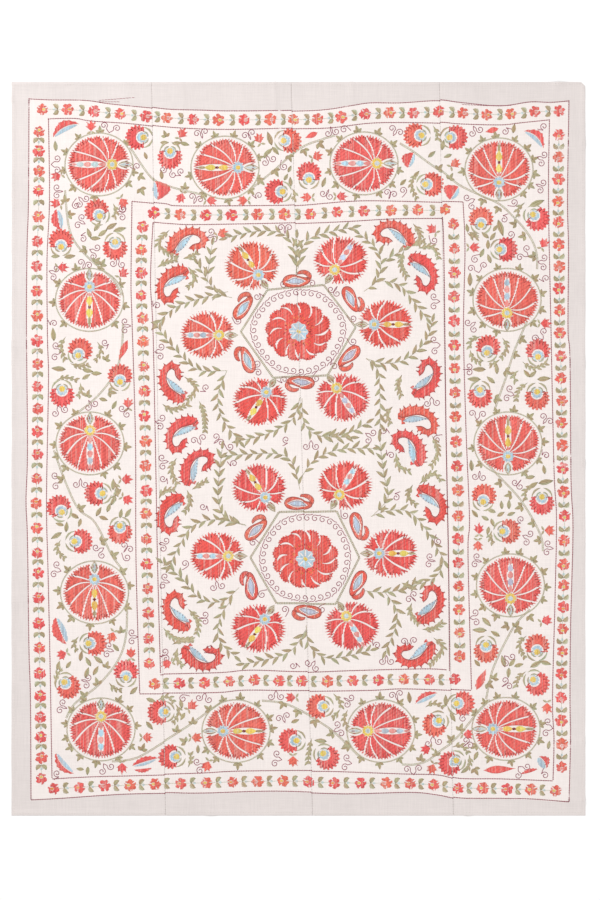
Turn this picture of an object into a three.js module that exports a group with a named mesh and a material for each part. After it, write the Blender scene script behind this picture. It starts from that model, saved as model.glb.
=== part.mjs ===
// A large embroidered suzani lying flat: four narrow loom widths of cotton, sewn edge to edge and hemmed all round.
// Lengths are millimetres. X runs across the cloth, Y up its length and Z up from the surface that it lies on.
// The origin is the middle of the underside, and the cloth touches the surface wherever no crease lifts it.
import * as THREE from "three";

// Driving dimensions
const CLOTH_WIDTH = 1900;
const CLOTH_LENGTH = 2428;
const CLOTH_THICKNESS = 1.5;
const HEM_WIDTH = 10;
const HEM_THICKNESS = 2.6;
const HEM_SLOPE_WIDTH = 2.5;
const SEAM_GAP = 0.3;
const BLUNT_CORNER_CUT = 15;
const EDGE_WAVE_HEIGHT = 1.2;
const EDGE_WAVE_LENGTH = 430;

// Spacing of the facets where the cloth is plain, and the least distance between two lines of them
const PLAIN_FACET_WIDTH = 62;
const PLAIN_FACET_LENGTH = 92;
const LEAST_FACET_WIDTH = 9;

const HALF_WIDTH = CLOTH_WIDTH / 2;
const HALF_LENGTH = CLOTH_LENGTH / 2;

// The seams run from the top hem to the bottom hem. Each drifts to the right on its way down.
const SEAMS = [
  { name: "left", xAtTop: -486, xAtBottom: -440 },
  { name: "middle", xAtTop: -24, xAtBottom: 47 },
  { name: "right", xAtTop: 467, xAtBottom: 513 },
];

const PANELS = ["panel_left", "panel_mid_left", "panel_mid_right", "panel_right"];

// Creases left by folding. Each starts at the cloth's edge, at x and y, and dies out at its inner end.
// run and rise say how far the inner end lies from the start, along X and along Y.
const CREASES = [
  { name: "top left corner", x: -769, y: 1214, run: 72, rise: -66, height: 4.5, halfWidth: 20 },
  { name: "top 125", x: -574, y: 1214, run: 0, rise: -190, height: 2.2, halfWidth: 22 },
  { name: "top 184", x: -392, y: 1214, run: 16, rise: -170, height: 2.4, halfWidth: 22 },
  { name: "top 274", x: -79, y: 1214, run: 4, rise: -330, height: 3.4, halfWidth: 15 },
  { name: "top 351", x: 176, y: 1214, run: 0, rise: -130, height: 2.4, halfWidth: 18 },
  { name: "top right corner", x: 866, y: 1214, run: -70, rise: -72, height: 5.5, halfWidth: 22 },
  { name: "bottom 210", x: -290, y: -1214, run: -8, rise: 150, height: 2.6, halfWidth: 26 },
  { name: "bottom 450", x: 560, y: -1214, run: -20, rise: 140, height: 3.2, halfWidth: 20 },
  { name: "left 96", x: -950, y: 1156, run: 130, rise: -14, height: 2.6, halfWidth: 20 },
  { name: "left 172", x: -950, y: 916, run: 160, rise: 0, height: 2.2, halfWidth: 22 },
  { name: "left 345", x: -950, y: 343, run: 150, rise: 6, height: 2.4, halfWidth: 24 },
  { name: "left 600", x: -950, y: -500, run: 140, rise: 0, height: 2.2, halfWidth: 24 },
  { name: "right 143", x: 950, y: 1012, run: -170, rise: 0, height: 2.4, halfWidth: 20 },
  { name: "right 363", x: 950, y: 284, run: -150, rise: 8, height: 2.4, halfWidth: 22 },
  { name: "right 463", x: 950, y: -47, run: -190, rise: 22, height: 3.0, halfWidth: 20 },
  { name: "right 741", x: 950, y: -967, run: -160, rise: 0, height: 2.6, halfWidth: 22 },
  { name: "right 800", x: 950, y: -1166, run: -120, rise: 10, height: 3.0, halfWidth: 18 },
];

// Low swells where the worked cloth does not lie quite flat. reachX and reachY are their half lengths.
const SWELLS = [
  { x: -700, y: 620, reachX: 150, reachY: 260, height: 2.4 },
  { x: -690, y: -330, reachX: 150, reachY: 300, height: 2.2 },
  { x: -250, y: 820, reachX: 170, reachY: 220, height: 2.2 },
  { x: -240, y: -60, reachX: 150, reachY: 260, height: 2.6 },
  { x: -190, y: -820, reachX: 170, reachY: 220, height: 2.0 },
  { x: 250, y: 700, reachX: 170, reachY: 260, height: 2.4 },
  { x: 270, y: -260, reachX: 160, reachY: 280, height: 2.2 },
  { x: 260, y: -900, reachX: 170, reachY: 170, height: 2.0 },
  { x: 710, y: 480, reachX: 150, reachY: 280, height: 2.4 },
  { x: 720, y: -560, reachX: 150, reachY: 260, height: 2.2 },
];

// 1 at distance 0, falling smoothly to 0 at distance 1 and beyond
function softFall(distance) {
  const inside = Math.min(Math.abs(distance), 1);
  return (1 - inside * inside) ** 2;
}

function seamX(seam, y) {
  const down = (HALF_LENGTH - y) / CLOTH_LENGTH;
  return THREE.MathUtils.lerp(seam.xAtTop, seam.xAtBottom, down);
}

// How far a crease lifts the cloth at a point
function creaseLift(crease, x, y) {
  const length = Math.hypot(crease.run, crease.rise);
  const alongX = crease.run / length;
  const alongY = crease.rise / length;
  const along = (x - crease.x) * alongX + (y - crease.y) * alongY;
  const across = (y - crease.y) * alongX - (x - crease.x) * alongY;
  return crease.height * softFall(across / crease.halfWidth) * softFall(Math.max(along, 0) / length);
}

function swellLift(swell, x, y) {
  const distance = Math.hypot((x - swell.x) / swell.reachX, (y - swell.y) / swell.reachY);
  return swell.height * softFall(distance);
}

function lift(x, y) {
  let height = 0;
  for (const crease of CREASES) height = Math.max(height, creaseLift(crease, x, y));
  for (const swell of SWELLS) height = Math.max(height, swellLift(swell, x, y));
  return height;
}

// The hem is the cloth turned over twice, so it is thicker along the outer edge.
function thickness(fromEdge) {
  const down = THREE.MathUtils.clamp((fromEdge - HEM_WIDTH) / HEM_SLOPE_WIDTH, 0, 1);
  return THREE.MathUtils.lerp(HEM_THICKNESS, CLOTH_THICKNESS, down);
}

// How far the cut edge wanders inwards at a place along it
function edgeWave(place) {
  const turn = (2 * Math.PI * place) / EDGE_WAVE_LENGTH;
  return EDGE_WAVE_HEIGHT * (0.5 + 0.25 * Math.sin(turn) + 0.25 * Math.sin(2.3 * turn + 1));
}

// The span of a panel at a height y: from its left edge or seam to its right one
function panelSpan(index, y) {
  const left = index === 0 ? -HALF_WIDTH + edgeWave(y) : seamX(SEAMS[index - 1], y) + SEAM_GAP / 2;
  const right =
    index === SEAMS.length ? HALF_WIDTH - edgeWave(y + EDGE_WAVE_LENGTH / 2) : seamX(SEAMS[index], y) - SEAM_GAP / 2;
  return { left, right };
}

// The panel's right top corner was folded under, so it is blunt there.
function bluntCorner(x, y) {
  const over = Math.max(x + y - (HALF_WIDTH + HALF_LENGTH - BLUNT_CORNER_CUT), 0);
  return { x: x - over / 2, y: y - over / 2 };
}

// Sorted facet lines: all of the wanted ones, and evenly spaced ones in the gaps that they leave
function facetLines(wanted, low, high, spacing) {
  const kept = [low, high];
  for (const line of wanted) {
    const clear = kept.every((other) => Math.abs(other - line) >= Math.min(LEAST_FACET_WIDTH, HEM_SLOPE_WIDTH));
    if (line > low && line < high && clear) kept.push(line);
  }
  kept.sort((a, b) => a - b);
  const lines = [low];
  for (let i = 1; i < kept.length; i++) {
    const steps = Math.max(1, Math.round((kept[i] - kept[i - 1]) / spacing));
    for (let k = 1; k <= steps; k++) {
      lines.push(THREE.MathUtils.lerp(kept[i - 1], kept[i], k / steps));
    }
  }
  return lines;
}

// The lines on both sides and the top of a crease, across the axis that it mostly runs along
function creaseLines(crease, axis) {
  const mostlyUp = Math.abs(crease.rise) > 3 * Math.abs(crease.run);
  const mostlySideways = Math.abs(crease.run) > 3 * Math.abs(crease.rise);
  const start = axis === "x" ? crease.x : crease.y;
  const travel = axis === "x" ? crease.run : crease.rise;
  if ((axis === "x" && mostlyUp) || (axis === "y" && mostlySideways)) {
    const middle = start + travel / 2;
    return [middle, middle - crease.halfWidth, middle + crease.halfWidth];
  }
  const steps = mostlyUp || mostlySideways ? [0.5, 1] : [0, 0.3, 0.6, 1];
  return steps.map((step) => start + travel * step);
}

function panelGeometry(index) {
  const middle = panelSpan(index, 0);
  const creases = CREASES.filter((crease) => {
    const span = panelSpan(index, crease.y);
    return crease.x >= span.left - 1 - EDGE_WAVE_HEIGHT && crease.x <= span.right + 1 + EDGE_WAVE_HEIGHT;
  });
  const hemInset = [HEM_WIDTH, HEM_WIDTH + HEM_SLOPE_WIDTH];

  const wantedRows = [
    ...hemInset.flatMap((inset) => [HALF_LENGTH - inset, inset - HALF_LENGTH]),
    ...creases.flatMap((crease) => creaseLines(crease, "y")),
  ];
  const rows = facetLines(wantedRows, -HALF_LENGTH, HALF_LENGTH, PLAIN_FACET_LENGTH);

  // Columns are shares of the panel's width. A crease's column is taken where the crease starts.
  const width = middle.right - middle.left;
  const wantedColumns = creases.flatMap((crease) => {
    const span = panelSpan(index, crease.y);
    return creaseLines(crease, "x").map((x) => x - span.left);
  });
  if (index === 0) wantedColumns.unshift(...hemInset);
  if (index === SEAMS.length) wantedColumns.unshift(...hemInset.map((inset) => width - inset));
  const columns = facetLines(wantedColumns, 0, width, PLAIN_FACET_WIDTH);

  const geometry = new THREE.BoxGeometry(1, 1, 1, columns.length - 1, rows.length - 1, 1);
  const position = geometry.getAttribute("position");
  for (let i = 0; i < position.count; i++) {
    const column = columns[Math.round((position.getX(i) + 0.5) * (columns.length - 1))];
    const row = rows[Math.round((position.getY(i) + 0.5) * (rows.length - 1))];
    const span = panelSpan(index, row);
    // Inner columns slide with the slant of the seams, but the hem keeps its width.
    const fromLeft = index === 0 && column <= hemInset[1];
    const fromRight = index === SEAMS.length && width - column <= hemInset[1];
    let x = span.left + (column / width) * (span.right - span.left);
    if (fromLeft) x = span.left + column;
    if (fromRight) x = span.right - (width - column);
    const sideEdge = Math.min(index === 0 ? column : Infinity, index === SEAMS.length ? width - column : Infinity);
    const fromEdge = Math.min(sideEdge, HALF_LENGTH - Math.abs(row));
    const place = bluntCorner(x, row);
    const underside = lift(x, row);
    const isTop = position.getZ(i) > 0;
    position.setXYZ(i, place.x, place.y, underside + (isTop ? thickness(fromEdge) : 0));
  }
  geometry.computeVertexNormals();
  return geometry;
}

const cotton = new THREE.MeshStandardMaterial({ color: 0xf3efe9, roughness: 0.92, metalness: 0 });

const suzani = new THREE.Group();
suzani.name = "suzani";
PANELS.forEach((name, index) => {
  const panel = new THREE.Mesh(panelGeometry(index), cotton);
  panel.name = name;
  suzani.add(panel);
});

export default suzani;
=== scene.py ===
import math
import random
from collections import namedtuple

import bpy
import numpy as np
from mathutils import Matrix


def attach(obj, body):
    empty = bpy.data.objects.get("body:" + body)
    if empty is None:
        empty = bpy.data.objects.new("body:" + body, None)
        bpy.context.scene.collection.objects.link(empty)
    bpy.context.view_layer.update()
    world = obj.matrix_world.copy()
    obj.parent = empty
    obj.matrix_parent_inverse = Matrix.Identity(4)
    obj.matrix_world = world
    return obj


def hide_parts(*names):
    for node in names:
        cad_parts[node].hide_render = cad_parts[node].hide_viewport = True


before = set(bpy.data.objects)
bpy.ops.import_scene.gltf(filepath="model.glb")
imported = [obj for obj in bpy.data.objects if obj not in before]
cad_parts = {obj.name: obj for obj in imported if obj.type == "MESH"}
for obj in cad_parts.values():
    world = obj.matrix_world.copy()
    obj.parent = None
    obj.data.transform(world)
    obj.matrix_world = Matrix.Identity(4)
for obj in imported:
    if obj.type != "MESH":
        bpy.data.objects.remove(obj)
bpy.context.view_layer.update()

rng = random.Random(11)


def table(columns, *rows):
    """Rows whose values are read by column name."""
    row_type = namedtuple("row_type", columns)
    return [row_type(*row) for row in rows]


# The cloth, in millimetres: X across, Y up its length, Z up from the surface that it lies on.

CLOTH_WIDTH = 1900
CLOTH_LENGTH = 2428
CLOTH_THICKNESS = 1.5
HEM_WIDTH = 10
HEM_THICKNESS = 2.6
HEM_SLOPE_WIDTH = 2.5
SEAM_GAP = 0.3
SEAM_CLEARANCE = 0.7
BLUNT_CORNER_CUT = 15
EDGE_WAVE_HEIGHT = 1.2
EDGE_WAVE_LENGTH = 430
HALF_WIDTH = CLOTH_WIDTH / 2
HALF_LENGTH = CLOTH_LENGTH / 2
LOOM_WIDTH = CLOTH_WIDTH / 4
PANELS = ["panel_left", "panel_mid_left", "panel_mid_right", "panel_right"]

# Each seam runs from the top hem to the bottom hem.
SEAMS = table("at_top at_bottom", (-486, -440), (-24, 47), (467, 513))

# A crease starts at the edge, at x and y, and dies out run and rise further on.
CREASES = table(
    "x y run rise height half_width",
    (-769, 1214, 72, -66, 4.5, 20), (-574, 1214, 0, -190, 2.2, 22), (-392, 1214, 16, -170, 2.4, 22),
    (-79, 1214, 4, -330, 3.4, 15), (176, 1214, 0, -130, 2.4, 18), (866, 1214, -70, -72, 5.5, 22),
    (-290, -1214, -8, 150, 2.6, 26), (560, -1214, -20, 140, 3.2, 20), (-950, 1156, 130, -14, 2.6, 20),
    (-950, 916, 160, 0, 2.2, 22), (-950, 343, 150, 6, 2.4, 24), (-950, -500, 140, 0, 2.2, 24),
    (950, 1012, -170, 0, 2.4, 20), (950, 284, -150, 8, 2.4, 22), (950, -47, -190, 22, 3.0, 20),
    (950, -967, -160, 0, 2.6, 22), (950, -1166, -120, 10, 3.0, 18),
)
SWELLS = table(
    "x y reach_x reach_y height",
    (-700, 620, 150, 260, 2.4), (-690, -330, 150, 300, 2.2), (-250, 820, 170, 220, 2.2),
    (-240, -60, 150, 260, 2.6), (-190, -820, 170, 220, 2.0), (250, 700, 170, 260, 2.4),
    (270, -260, 160, 280, 2.2), (260, -900, 170, 170, 2.0), (710, 480, 150, 280, 2.4),
    (720, -560, 150, 260, 2.2),
)

# The pattern is drawn in steps of 3.31 mm, one pixel of the photo, up and across from the cloth's middle.
STEP = 3.31
MIDDLE_PX = 298.4
MIDDLE_PY = 448.75
# The panels were worked apart, so the pattern jogs a little at each seam.
PANEL_JOG = [-0.4, 0.4, -0.4, 0.6]


def at(px, py):
    return px - MIDDLE_PX, MIDDLE_PY - py


def places(pixels):
    return [at(px, py) for px, py in pixels]


def place_of(row):
    return at(row.px, row.py)


# Dyes, as linear colour

RED = (0.97, 0.175, 0.155)
MIDDLE_RED = (0.97, 0.14, 0.115)
WARM_RED = (0.97, 0.24, 0.15)
CRIMSON = (0.94, 0.12, 0.135)
MAROON = (0.24, 0.03, 0.03)
PINK = (0.86, 0.36, 0.33)
OLIVE = (0.46, 0.41, 0.27)
BROWN_OLIVE = (0.47, 0.38, 0.22)
PALE_OLIVE = (0.56, 0.51, 0.36)
CREAM = (0.86, 0.78, 0.70)
BLUE = (0.50, 0.67, 0.775)
GREY_BLUE = (0.58, 0.69, 0.70)
LILAC = (0.60, 0.60, 0.74)
YELLOW = (0.86, 0.63, 0.15)
ORANGE = (0.88, 0.36, 0.10)
LINE_CRIMSON = (0.31, 0.036, 0.07)
CURL_CRIMSON = (0.30, 0.036, 0.085)
SEWING = (0.55, 0.48, 0.42)

# Stitch sizes: lengths along the cloth in steps, heights above it in millimetres

PITCH = 0.9
THREAD_HALF_WIDTH = 0.67
THREAD_FIT = 0.2
RING_SPACING = 1.8
TIP_LENGTH = 0.5
SHORTEST_THREAD = 0.5
THREAD_HEIGHT = 0.9
TIED_HEIGHT = 0.7
END_HEIGHT = THREAD_HEIGHT * 0.85
END_SHADE = 0.45
PRICK_HEIGHT = 1.25
PRICK_BASE = 0.45
THREAD_BASE = -0.35
# How much painted shade darkens the two lower edges of every thread
GROOVE_SHADE = 0.92
EDGING_PITCH = 2.2
CHAIN_PITCH = 1.7
CHAIN_WIDTH = 1.4
CHAIN_HEIGHT = 0.95
STEM_PITCH = 1.5
STEM_HEIGHT = 0.9
CURL_WIDTH = 1.35
STITCH_OVERLAP = 0.3
WORN_SHARE = 0.26


class Bundle:
    """Points, dyes and faces on their way to one mesh."""

    def __init__(self):
        self.points = []
        self.dyes = []
        self.faces = []


class Skein:
    """Every stitch of one thread, in one bundle, or in one for each panel."""

    def __init__(self, name, slot, by_panel=False):
        self.name = name
        self.slot = slot
        self.by_panel = by_panel
        whole = Bundle()
        self.bundles = [Bundle() if by_panel else whole for _ in PANELS]

    def pieces(self):
        """The name, the panel's index and the bundle of each piece. A whole one counts to the first panel."""
        if not self.by_panel:
            return [(self.name, 0, self.bundles[0])]
        return [(f"{self.name}_{PANELS[index]}", index, bundle) for index, bundle in enumerate(self.bundles)]


red = Skein("red_silk", "red_thread", by_panel=True)
green = Skein("olive_silk", "green_thread", by_panel=True)
blue = Skein("blue_silk", "blue_thread")
yellow = Skein("yellow_silk", "yellow_thread")
lines = Skein("line_stitches", "crimson_line_thread", by_panel=True)
sewing = Skein("sewing_stitches", "sewing_thread")


# Plane geometry

def turned(points, degrees, scale=1.0, flip=1):
    """Points flipped across the X axis where flip is -1, then scaled and turned about the origin."""
    c = math.cos(math.radians(degrees)) * scale
    s = math.sin(math.radians(degrees)) * scale
    return [(x * c - y * flip * s, x * s + y * flip * c) for x, y in points]


def moved(points, place):
    return [(x + place[0], y + place[1]) for x, y in points]


def between(start, end, share):
    """The place a share of the way from start to end."""
    return start[0] + (end[0] - start[0]) * share, start[1] + (end[1] - start[1]) * share


def midpoint(a, b):
    return (a[0] + b[0]) / 2, (a[1] + b[1]) / 2


def toward(place, degrees, distance):
    angle = math.radians(degrees)
    return place[0] + math.cos(angle) * distance, place[1] + math.sin(angle) * distance


def heading(start, end):
    return math.degrees(math.atan2(end[1] - start[1], end[0] - start[0]))


def curve_value(p, q, r, s, t):
    """The value a share t of the way from q to r, on a soft curve through all four."""
    bend = (2 * p - 5 * q + 4 * r - s) * t ** 2
    twist = (3 * q - p - 3 * r + s) * t ** 3
    return 0.5 * (2 * q + (r - p) * t + bend + twist)


def smooth(points, closed=False, steps=6):
    """A soft curve through the points. Each may have values beyond x and y, which are carried along."""
    count = len(points)
    curve = []
    for i in range(count if closed else count - 1):
        nearby = range(i - 1, i + 3)
        a, b, c, d = (points[k % count] if closed else points[min(max(k, 0), count - 1)] for k in nearby)
        for step in range(steps):
            curve.append(tuple(curve_value(*values, step / steps) for values in zip(a, b, c, d)))
    curve.append(points[0] if closed else points[-1])
    return curve


def lengths_along(xy):
    """How far along a path each of its points is."""
    return np.concatenate([[0.0], np.cumsum(np.hypot(*np.diff(xy, axis=0).T))])


def even_points(path, pitch):
    """Points along a path, about a pitch apart. Values beyond x and y are carried along."""
    values = np.array(path, dtype=float)
    along = lengths_along(values[:, :2])
    marks = np.linspace(0, along[-1], max(2, round(along[-1] / pitch) + 1))
    return list(zip(*(np.interp(marks, along, column).tolist() for column in values.T)))


def offset_point(path, i, distance):
    """Distance to the left of point i of a path."""
    x, y = path[i][:2]
    before = path[max(i - 1, 0)]
    after = path[min(i + 1, len(path) - 1)]
    dx = after[0] - before[0]
    dy = after[1] - before[1]
    length = math.hypot(dx, dy) or 1.0
    return x - dy / length * distance, y + dx / length * distance


def ellipse(place, rx, ry, count):
    angles = [math.radians(360 * k / count) for k in range(count)]
    return [(place[0] + rx * math.cos(a), place[1] + ry * math.sin(a)) for a in angles]


def toothed_rim(place, rx, ry, tooth, depth, lobes=0, lobe_depth=0.0, lobe_turn=0.0):
    """An ellipse with small sharp teeth, and broad lobes where there are any."""
    count = max(8, round(math.pi * (rx + ry) / tooth))
    rim = []
    for k in range(2 * count):
        angle = math.pi * (k + rng.uniform(-0.25, 0.25)) / count
        notch = depth * rng.uniform(0.7, 1.3) if k % 2 else 0.0
        if lobes:
            between = abs(math.sin(lobes * (angle - math.radians(lobe_turn)) / 2))
            notch += lobe_depth * (1 - between) ** 1.5
        rim.append((place[0] + (rx - notch) * math.cos(angle), place[1] + (ry - notch) * math.sin(angle)))
    return rim


def bowed_sides(start, end, steps, half_width, bow):
    """The two sides of a shape. Its half width and its bow are functions of the share of its length."""
    run = (end[0] - start[0], end[1] - start[1])
    length = math.hypot(*run) or 1.0
    side = (-run[1] / length, run[0] / length)
    left = []
    right = []
    for k in range(steps + 1):
        t = k / steps
        swell = half_width(t)
        sway = bow(t)
        middle = (start[0] + run[0] * t + side[0] * sway, start[1] + run[1] * t + side[1] * sway)
        left.append((middle[0] + side[0] * swell, middle[1] + side[1] * swell))
        right.append((middle[0] - side[0] * swell, middle[1] - side[1] * swell))
    return left, right


def lens(start, end, half_width, bend=0.0, widest=0.5):
    """A pointed oval from start to end. bend is how far its middle lies to the left."""
    power = math.log(0.5) / math.log(widest)
    left, right = bowed_sides(start, end, 8, lambda t: half_width * math.sin(math.pi * t ** power),
                              lambda t: bend * 4 * t * (1 - t))
    return left + right[-2:0:-1]


def vein_gap(start, end, half_width, bend):
    """A curved gap between petals, fine at its start and widest near its end."""
    left, right = bowed_sides(start, end, 9,
                              lambda t: half_width * (0.45 + 0.75 * t) * (1 if 0 < t < 1 else 0.3),
                              lambda t: bend * 4 * t * (1 - t) ** 1.3)
    return left + right[::-1]


# Stitches

def varied(dye, amount=0.09):
    shade = rng.uniform(1 - amount, 1 + amount)
    hue = rng.uniform(0.86, 1.16)
    return min(dye[0] * shade, 0.95), dye[1] * shade * hue, dye[2] * shade * hue


def mixed(a, b, share):
    return tuple(p + (q - p) * share for p, q in zip(a, b))


def leaning_red(dye, most):
    """A red that leans a little to a warmer or a deeper one."""
    return mixed(dye, rng.choice([WARM_RED, CRIMSON]), rng.uniform(0, most))


def seam_x(seam, y):
    """Where a seam is at a height y, in millimetres."""
    return seam.at_top + (seam.at_bottom - seam.at_top) * (HALF_LENGTH - y) / CLOTH_LENGTH


def panel_at(x, y):
    """The panel under a point of the pattern."""
    return sum(x * STEP > seam_x(seam, y * STEP) for seam in SEAMS)


def strand(skein, path, half_widths, heights, dyes, panel=None, base=THREAD_BASE):
    """A closed ridge of thread along a path, pointed at both ends. base is the height of its lower edges."""
    if panel is None:
        panel = panel_at(*path[len(path) // 2])
    bundle = skein.bundles[panel]
    points = bundle.points
    faces = bundle.faces
    first = len(points)
    jog = PANEL_JOG[panel]
    last = len(path) - 1
    for i, (x, y) in enumerate(path):
        y += jog
        if i in (0, last):
            points.append((x, y, 0.0))
            bundle.dyes.append(dyes[i])
            continue
        before = path[i - 1]
        after = path[i + 1]
        dx = after[0] - before[0]
        dy = after[1] - before[1]
        reach = half_widths[i] / (math.hypot(dx, dy) or 1.0)
        points.append((x - dy * reach, y + dx * reach, base))
        points.append((x, y, heights[i]))
        points.append((x + dy * reach, y - dx * reach, base))
        # The two lower edges get painted shade: their dye is darkened by GROOVE_SHADE, as if the grooves
        # between threads lay in shadow.
        r, g, b = dyes[i]
        side = (r * GROOVE_SHADE, g * GROOVE_SHADE, b * GROOVE_SHADE)
        bundle.dyes.extend([side, dyes[i], side])
    ring = first + 1
    faces.extend([(first, ring + 1, ring), (first, ring + 2, ring + 1), (first, ring, ring + 2)])
    for _ in range(last - 2):
        after = ring + 3
        faces.append((ring, ring + 1, after + 1, after))
        faces.append((ring + 1, ring + 2, after + 2, after + 1))
        faces.append((ring + 2, ring, after, after + 2))
        ring = after
    tip = ring + 3
    faces.extend([(tip, ring, ring + 1), (tip, ring + 1, ring + 2), (tip, ring + 2, ring)])


def spans(loop, x):
    """The parts of the upright line at x that lie inside a closed loop."""
    cuts = []
    ax, ay = loop[-1]
    for bx, by in loop:
        if (ax <= x) != (bx <= x):
            cuts.append(ay + (by - ay) * (x - ax) / (bx - ax))
        ax, ay = bx, by
    cuts.sort()
    return list(zip(cuts[::2], cuts[1::2]))


def overlap(some, others):
    both = [(max(a, c), min(b, d)) for a, b in some for c, d in others]
    return [(low, high) for low, high in both if high > low]


def without(some, holes):
    for start, end in holes:
        halves = [half for low, high in some for half in ((low, min(high, start)), (max(low, end), high))]
        some = [(low, high) for low, high in halves if high > low]
    return some


def within_panel(panel, x, low, high):
    """The part of an upright thread that lies on one panel, clear of its seams."""
    gap = 0.5 * SEAM_GAP + SEAM_CLEARANCE
    for index, side in ((panel - 1, 1), (panel, -1)):
        if not 0 <= index < len(SEAMS):
            continue
        seam = SEAMS[index]
        slope = (seam.at_bottom - seam.at_top) / CLOTH_LENGTH
        crossing = (HALF_LENGTH - (x * STEP - side * gap - seam.at_top) / slope) / STEP
        if side > 0:
            low = max(low, crossing)
        else:
            high = min(high, crossing)
    return low, high


def upright_thread(skein, panel, x, low, high, dye, tip_dye, column):
    """One laid thread, tied down at places that step from each thread to the next."""
    tip = min(TIP_LENGTH, 0.4 * (high - low))
    rings = [low + tip]
    tie = math.ceil(rings[0] / RING_SPACING - column / 3 + 0.4)
    place = (tie + column / 3) * RING_SPACING
    heights = [END_HEIGHT]
    shades = [END_SHADE]
    while place < high - tip - 0.4:
        rings.append(place)
        heights.append(TIED_HEIGHT if tie % 2 else THREAD_HEIGHT)
        # Tied rings are darkened toward the tip dye: painted shade where the thread dips under its tie. The
        # ends are darkened for the dark outline of the fill.
        shades.append(rng.uniform(0.1, 0.72) if tie % 2 else rng.uniform(0, 0.06))
        tie += 1
        place += RING_SPACING
    if high - tip > rings[-1] + 0.3:
        rings.append(high - tip)
        heights.append(END_HEIGHT)
        shades.append(END_SHADE)
    path = [(x, low)] + [(x, y) for y in rings] + [(x, high)]
    colour = varied(dye, 0.16)
    if rng.random() < WORN_SHARE:
        colour = mixed(colour, CREAM, rng.uniform(0.1, 0.4))
    dyes = [tip_dye] + [mixed(colour, tip_dye, shade) for shade in shades] + [tip_dye]
    strand(skein, path, [THREAD_HALF_WIDTH] * len(path), [0] + heights + [0], dyes, panel)


def fill(skein, outline, dye, gaps=(), insets=(), tip_dye=None, snug=False):
    """Upright threads laid side by side inside an outline.

    Gaps in it stay bare, and insets are left for another thread, whose own fill is snug."""
    tip_dye = tip_dye or mixed(dye, MAROON, 0.15)
    low_x = min(x for x, y in outline)
    high_x = max(x for x, y in outline)
    fit = THREAD_FIT
    for column in range(math.ceil(low_x / PITCH), math.ceil(high_x / PITCH)):
        x = (column + 0.1 * math.sin(column * 12.9)) * PITCH
        inside = spans(outline, x) if snug else overlap(spans(outline, x - fit), spans(outline, x + fit))
        for inset in insets:
            inside = without(inside, spans(inset, x))
        for gap in gaps:
            for place in (x - fit, x, x + fit):
                inside = without(inside, spans(gap, place))
        for low, high in inside:
            for panel in range(len(PANELS)):
                bottom, top = within_panel(panel, x, low, high)
                if top - bottom > SHORTEST_THREAD:
                    upright_thread(skein, panel, x, bottom, top, dye, tip_dye, column)


def prick(skein, start, end, half_width, dye):
    """One straight stitch that lies over the threads below it."""
    path = [between(start, end, share) for share in (0, 0.12, 0.88, 1)]
    strand(skein, path, [half_width] * 4, [0, PRICK_HEIGHT, PRICK_HEIGHT, 0], [dye] * 4, base=PRICK_BASE)


def edging(skein, path, dye, half_width=0.36):
    """Back stitches in a row over the edge of a filled shape."""
    for start, _, end in stitch_ends(path, EDGING_PITCH):
        prick(skein, start, end, half_width, varied(dye, 0.15))


def blade(skein, path, half_width, dye, other_dye=None, threads=3, rings=3):
    """A leaf or petal of threads that run along a path and meet at both ends."""
    marks = np.linspace(0, 1, rings + 2)
    xy = np.array(path, dtype=float)
    along = lengths_along(xy)
    along /= along[-1] or 1.0
    points = list(zip(np.interp(marks, along, xy[:, 0]).tolist(), np.interp(marks, along, xy[:, 1]).tolist()))
    swells = [half_width * math.sin(math.pi * t ** 0.85) for t in marks]
    panel = panel_at(*points[len(points) // 2])
    for thread in range(threads):
        offset = (2 * thread + 1) / threads - 1
        course = [offset_point(points, i, offset * swells[i]) for i in range(rings + 2)]
        colour = varied(mixed(dye, other_dye or dye, thread / max(threads - 1, 1)))
        widths = [swell / threads * 1.45 for swell in swells]
        strand(skein, course, widths, [THREAD_HEIGHT] * (rings + 2), [colour] * (rings + 2), panel)


def stitch_ends(path, pitch):
    """Where each stitch along a path starts and ends. Each starts a little inside the one before."""
    marks = even_points(path, pitch)
    for start, end in zip(marks, marks[1:]):
        back = between(start, end, -STITCH_OVERLAP)
        yield back, midpoint(back, end), end


def short_stitch(skein, course, half_width, height, dye):
    """One thread over three points, highest at the middle one."""
    strand(skein, course, [half_width] * 3, [0, height, 0], [dye] * 3)


def chain(skein, path, dye, width=CHAIN_WIDTH):
    """A line of chain stitches, each of two threads that part and meet."""
    for start, middle, end in stitch_ends(path, CHAIN_PITCH):
        colour = varied(dye)
        for side in (-1, 1):
            bulge = offset_point([start, middle, end], 1, side * width * 0.25)
            short_stitch(skein, [start, bulge, end], width * 0.3, CHAIN_HEIGHT, colour)


def stem(skein, path, dye, width, pitch=STEM_PITCH):
    """A line of slanting stitches that overlap like the strands of a rope."""
    for start, middle, end in stitch_ends(path, pitch):
        colour = varied(dye)
        course = [start, middle, end]
        slant = [offset_point(course, 0, width * 0.3), middle, offset_point(course, 2, -width * 0.3)]
        short_stitch(skein, slant, width * 0.5, STEM_HEIGHT, colour)


# Motifs

THREAD_COLOURS = {
    "blue": (blue, BLUE), "yellow": (yellow, YELLOW), "grey": (blue, GREY_BLUE), "lilac": (blue, LILAC),
    "pink": (red, PINK), "orange": (yellow, ORANGE), "maroon": (red, MAROON), "olive": (green, BROWN_OLIVE),
}


def leaf(base, degrees, length, width, dye=OLIVE, bend=0.0, threads=3):
    tip = toward(base, degrees, length)
    bowed = toward(midpoint(base, tip), degrees + 90, bend)
    blade(green, smooth([base, bowed, tip], steps=3), width / 2, dye, mixed(dye, BROWN_OLIVE, 0.8), threads)


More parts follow.
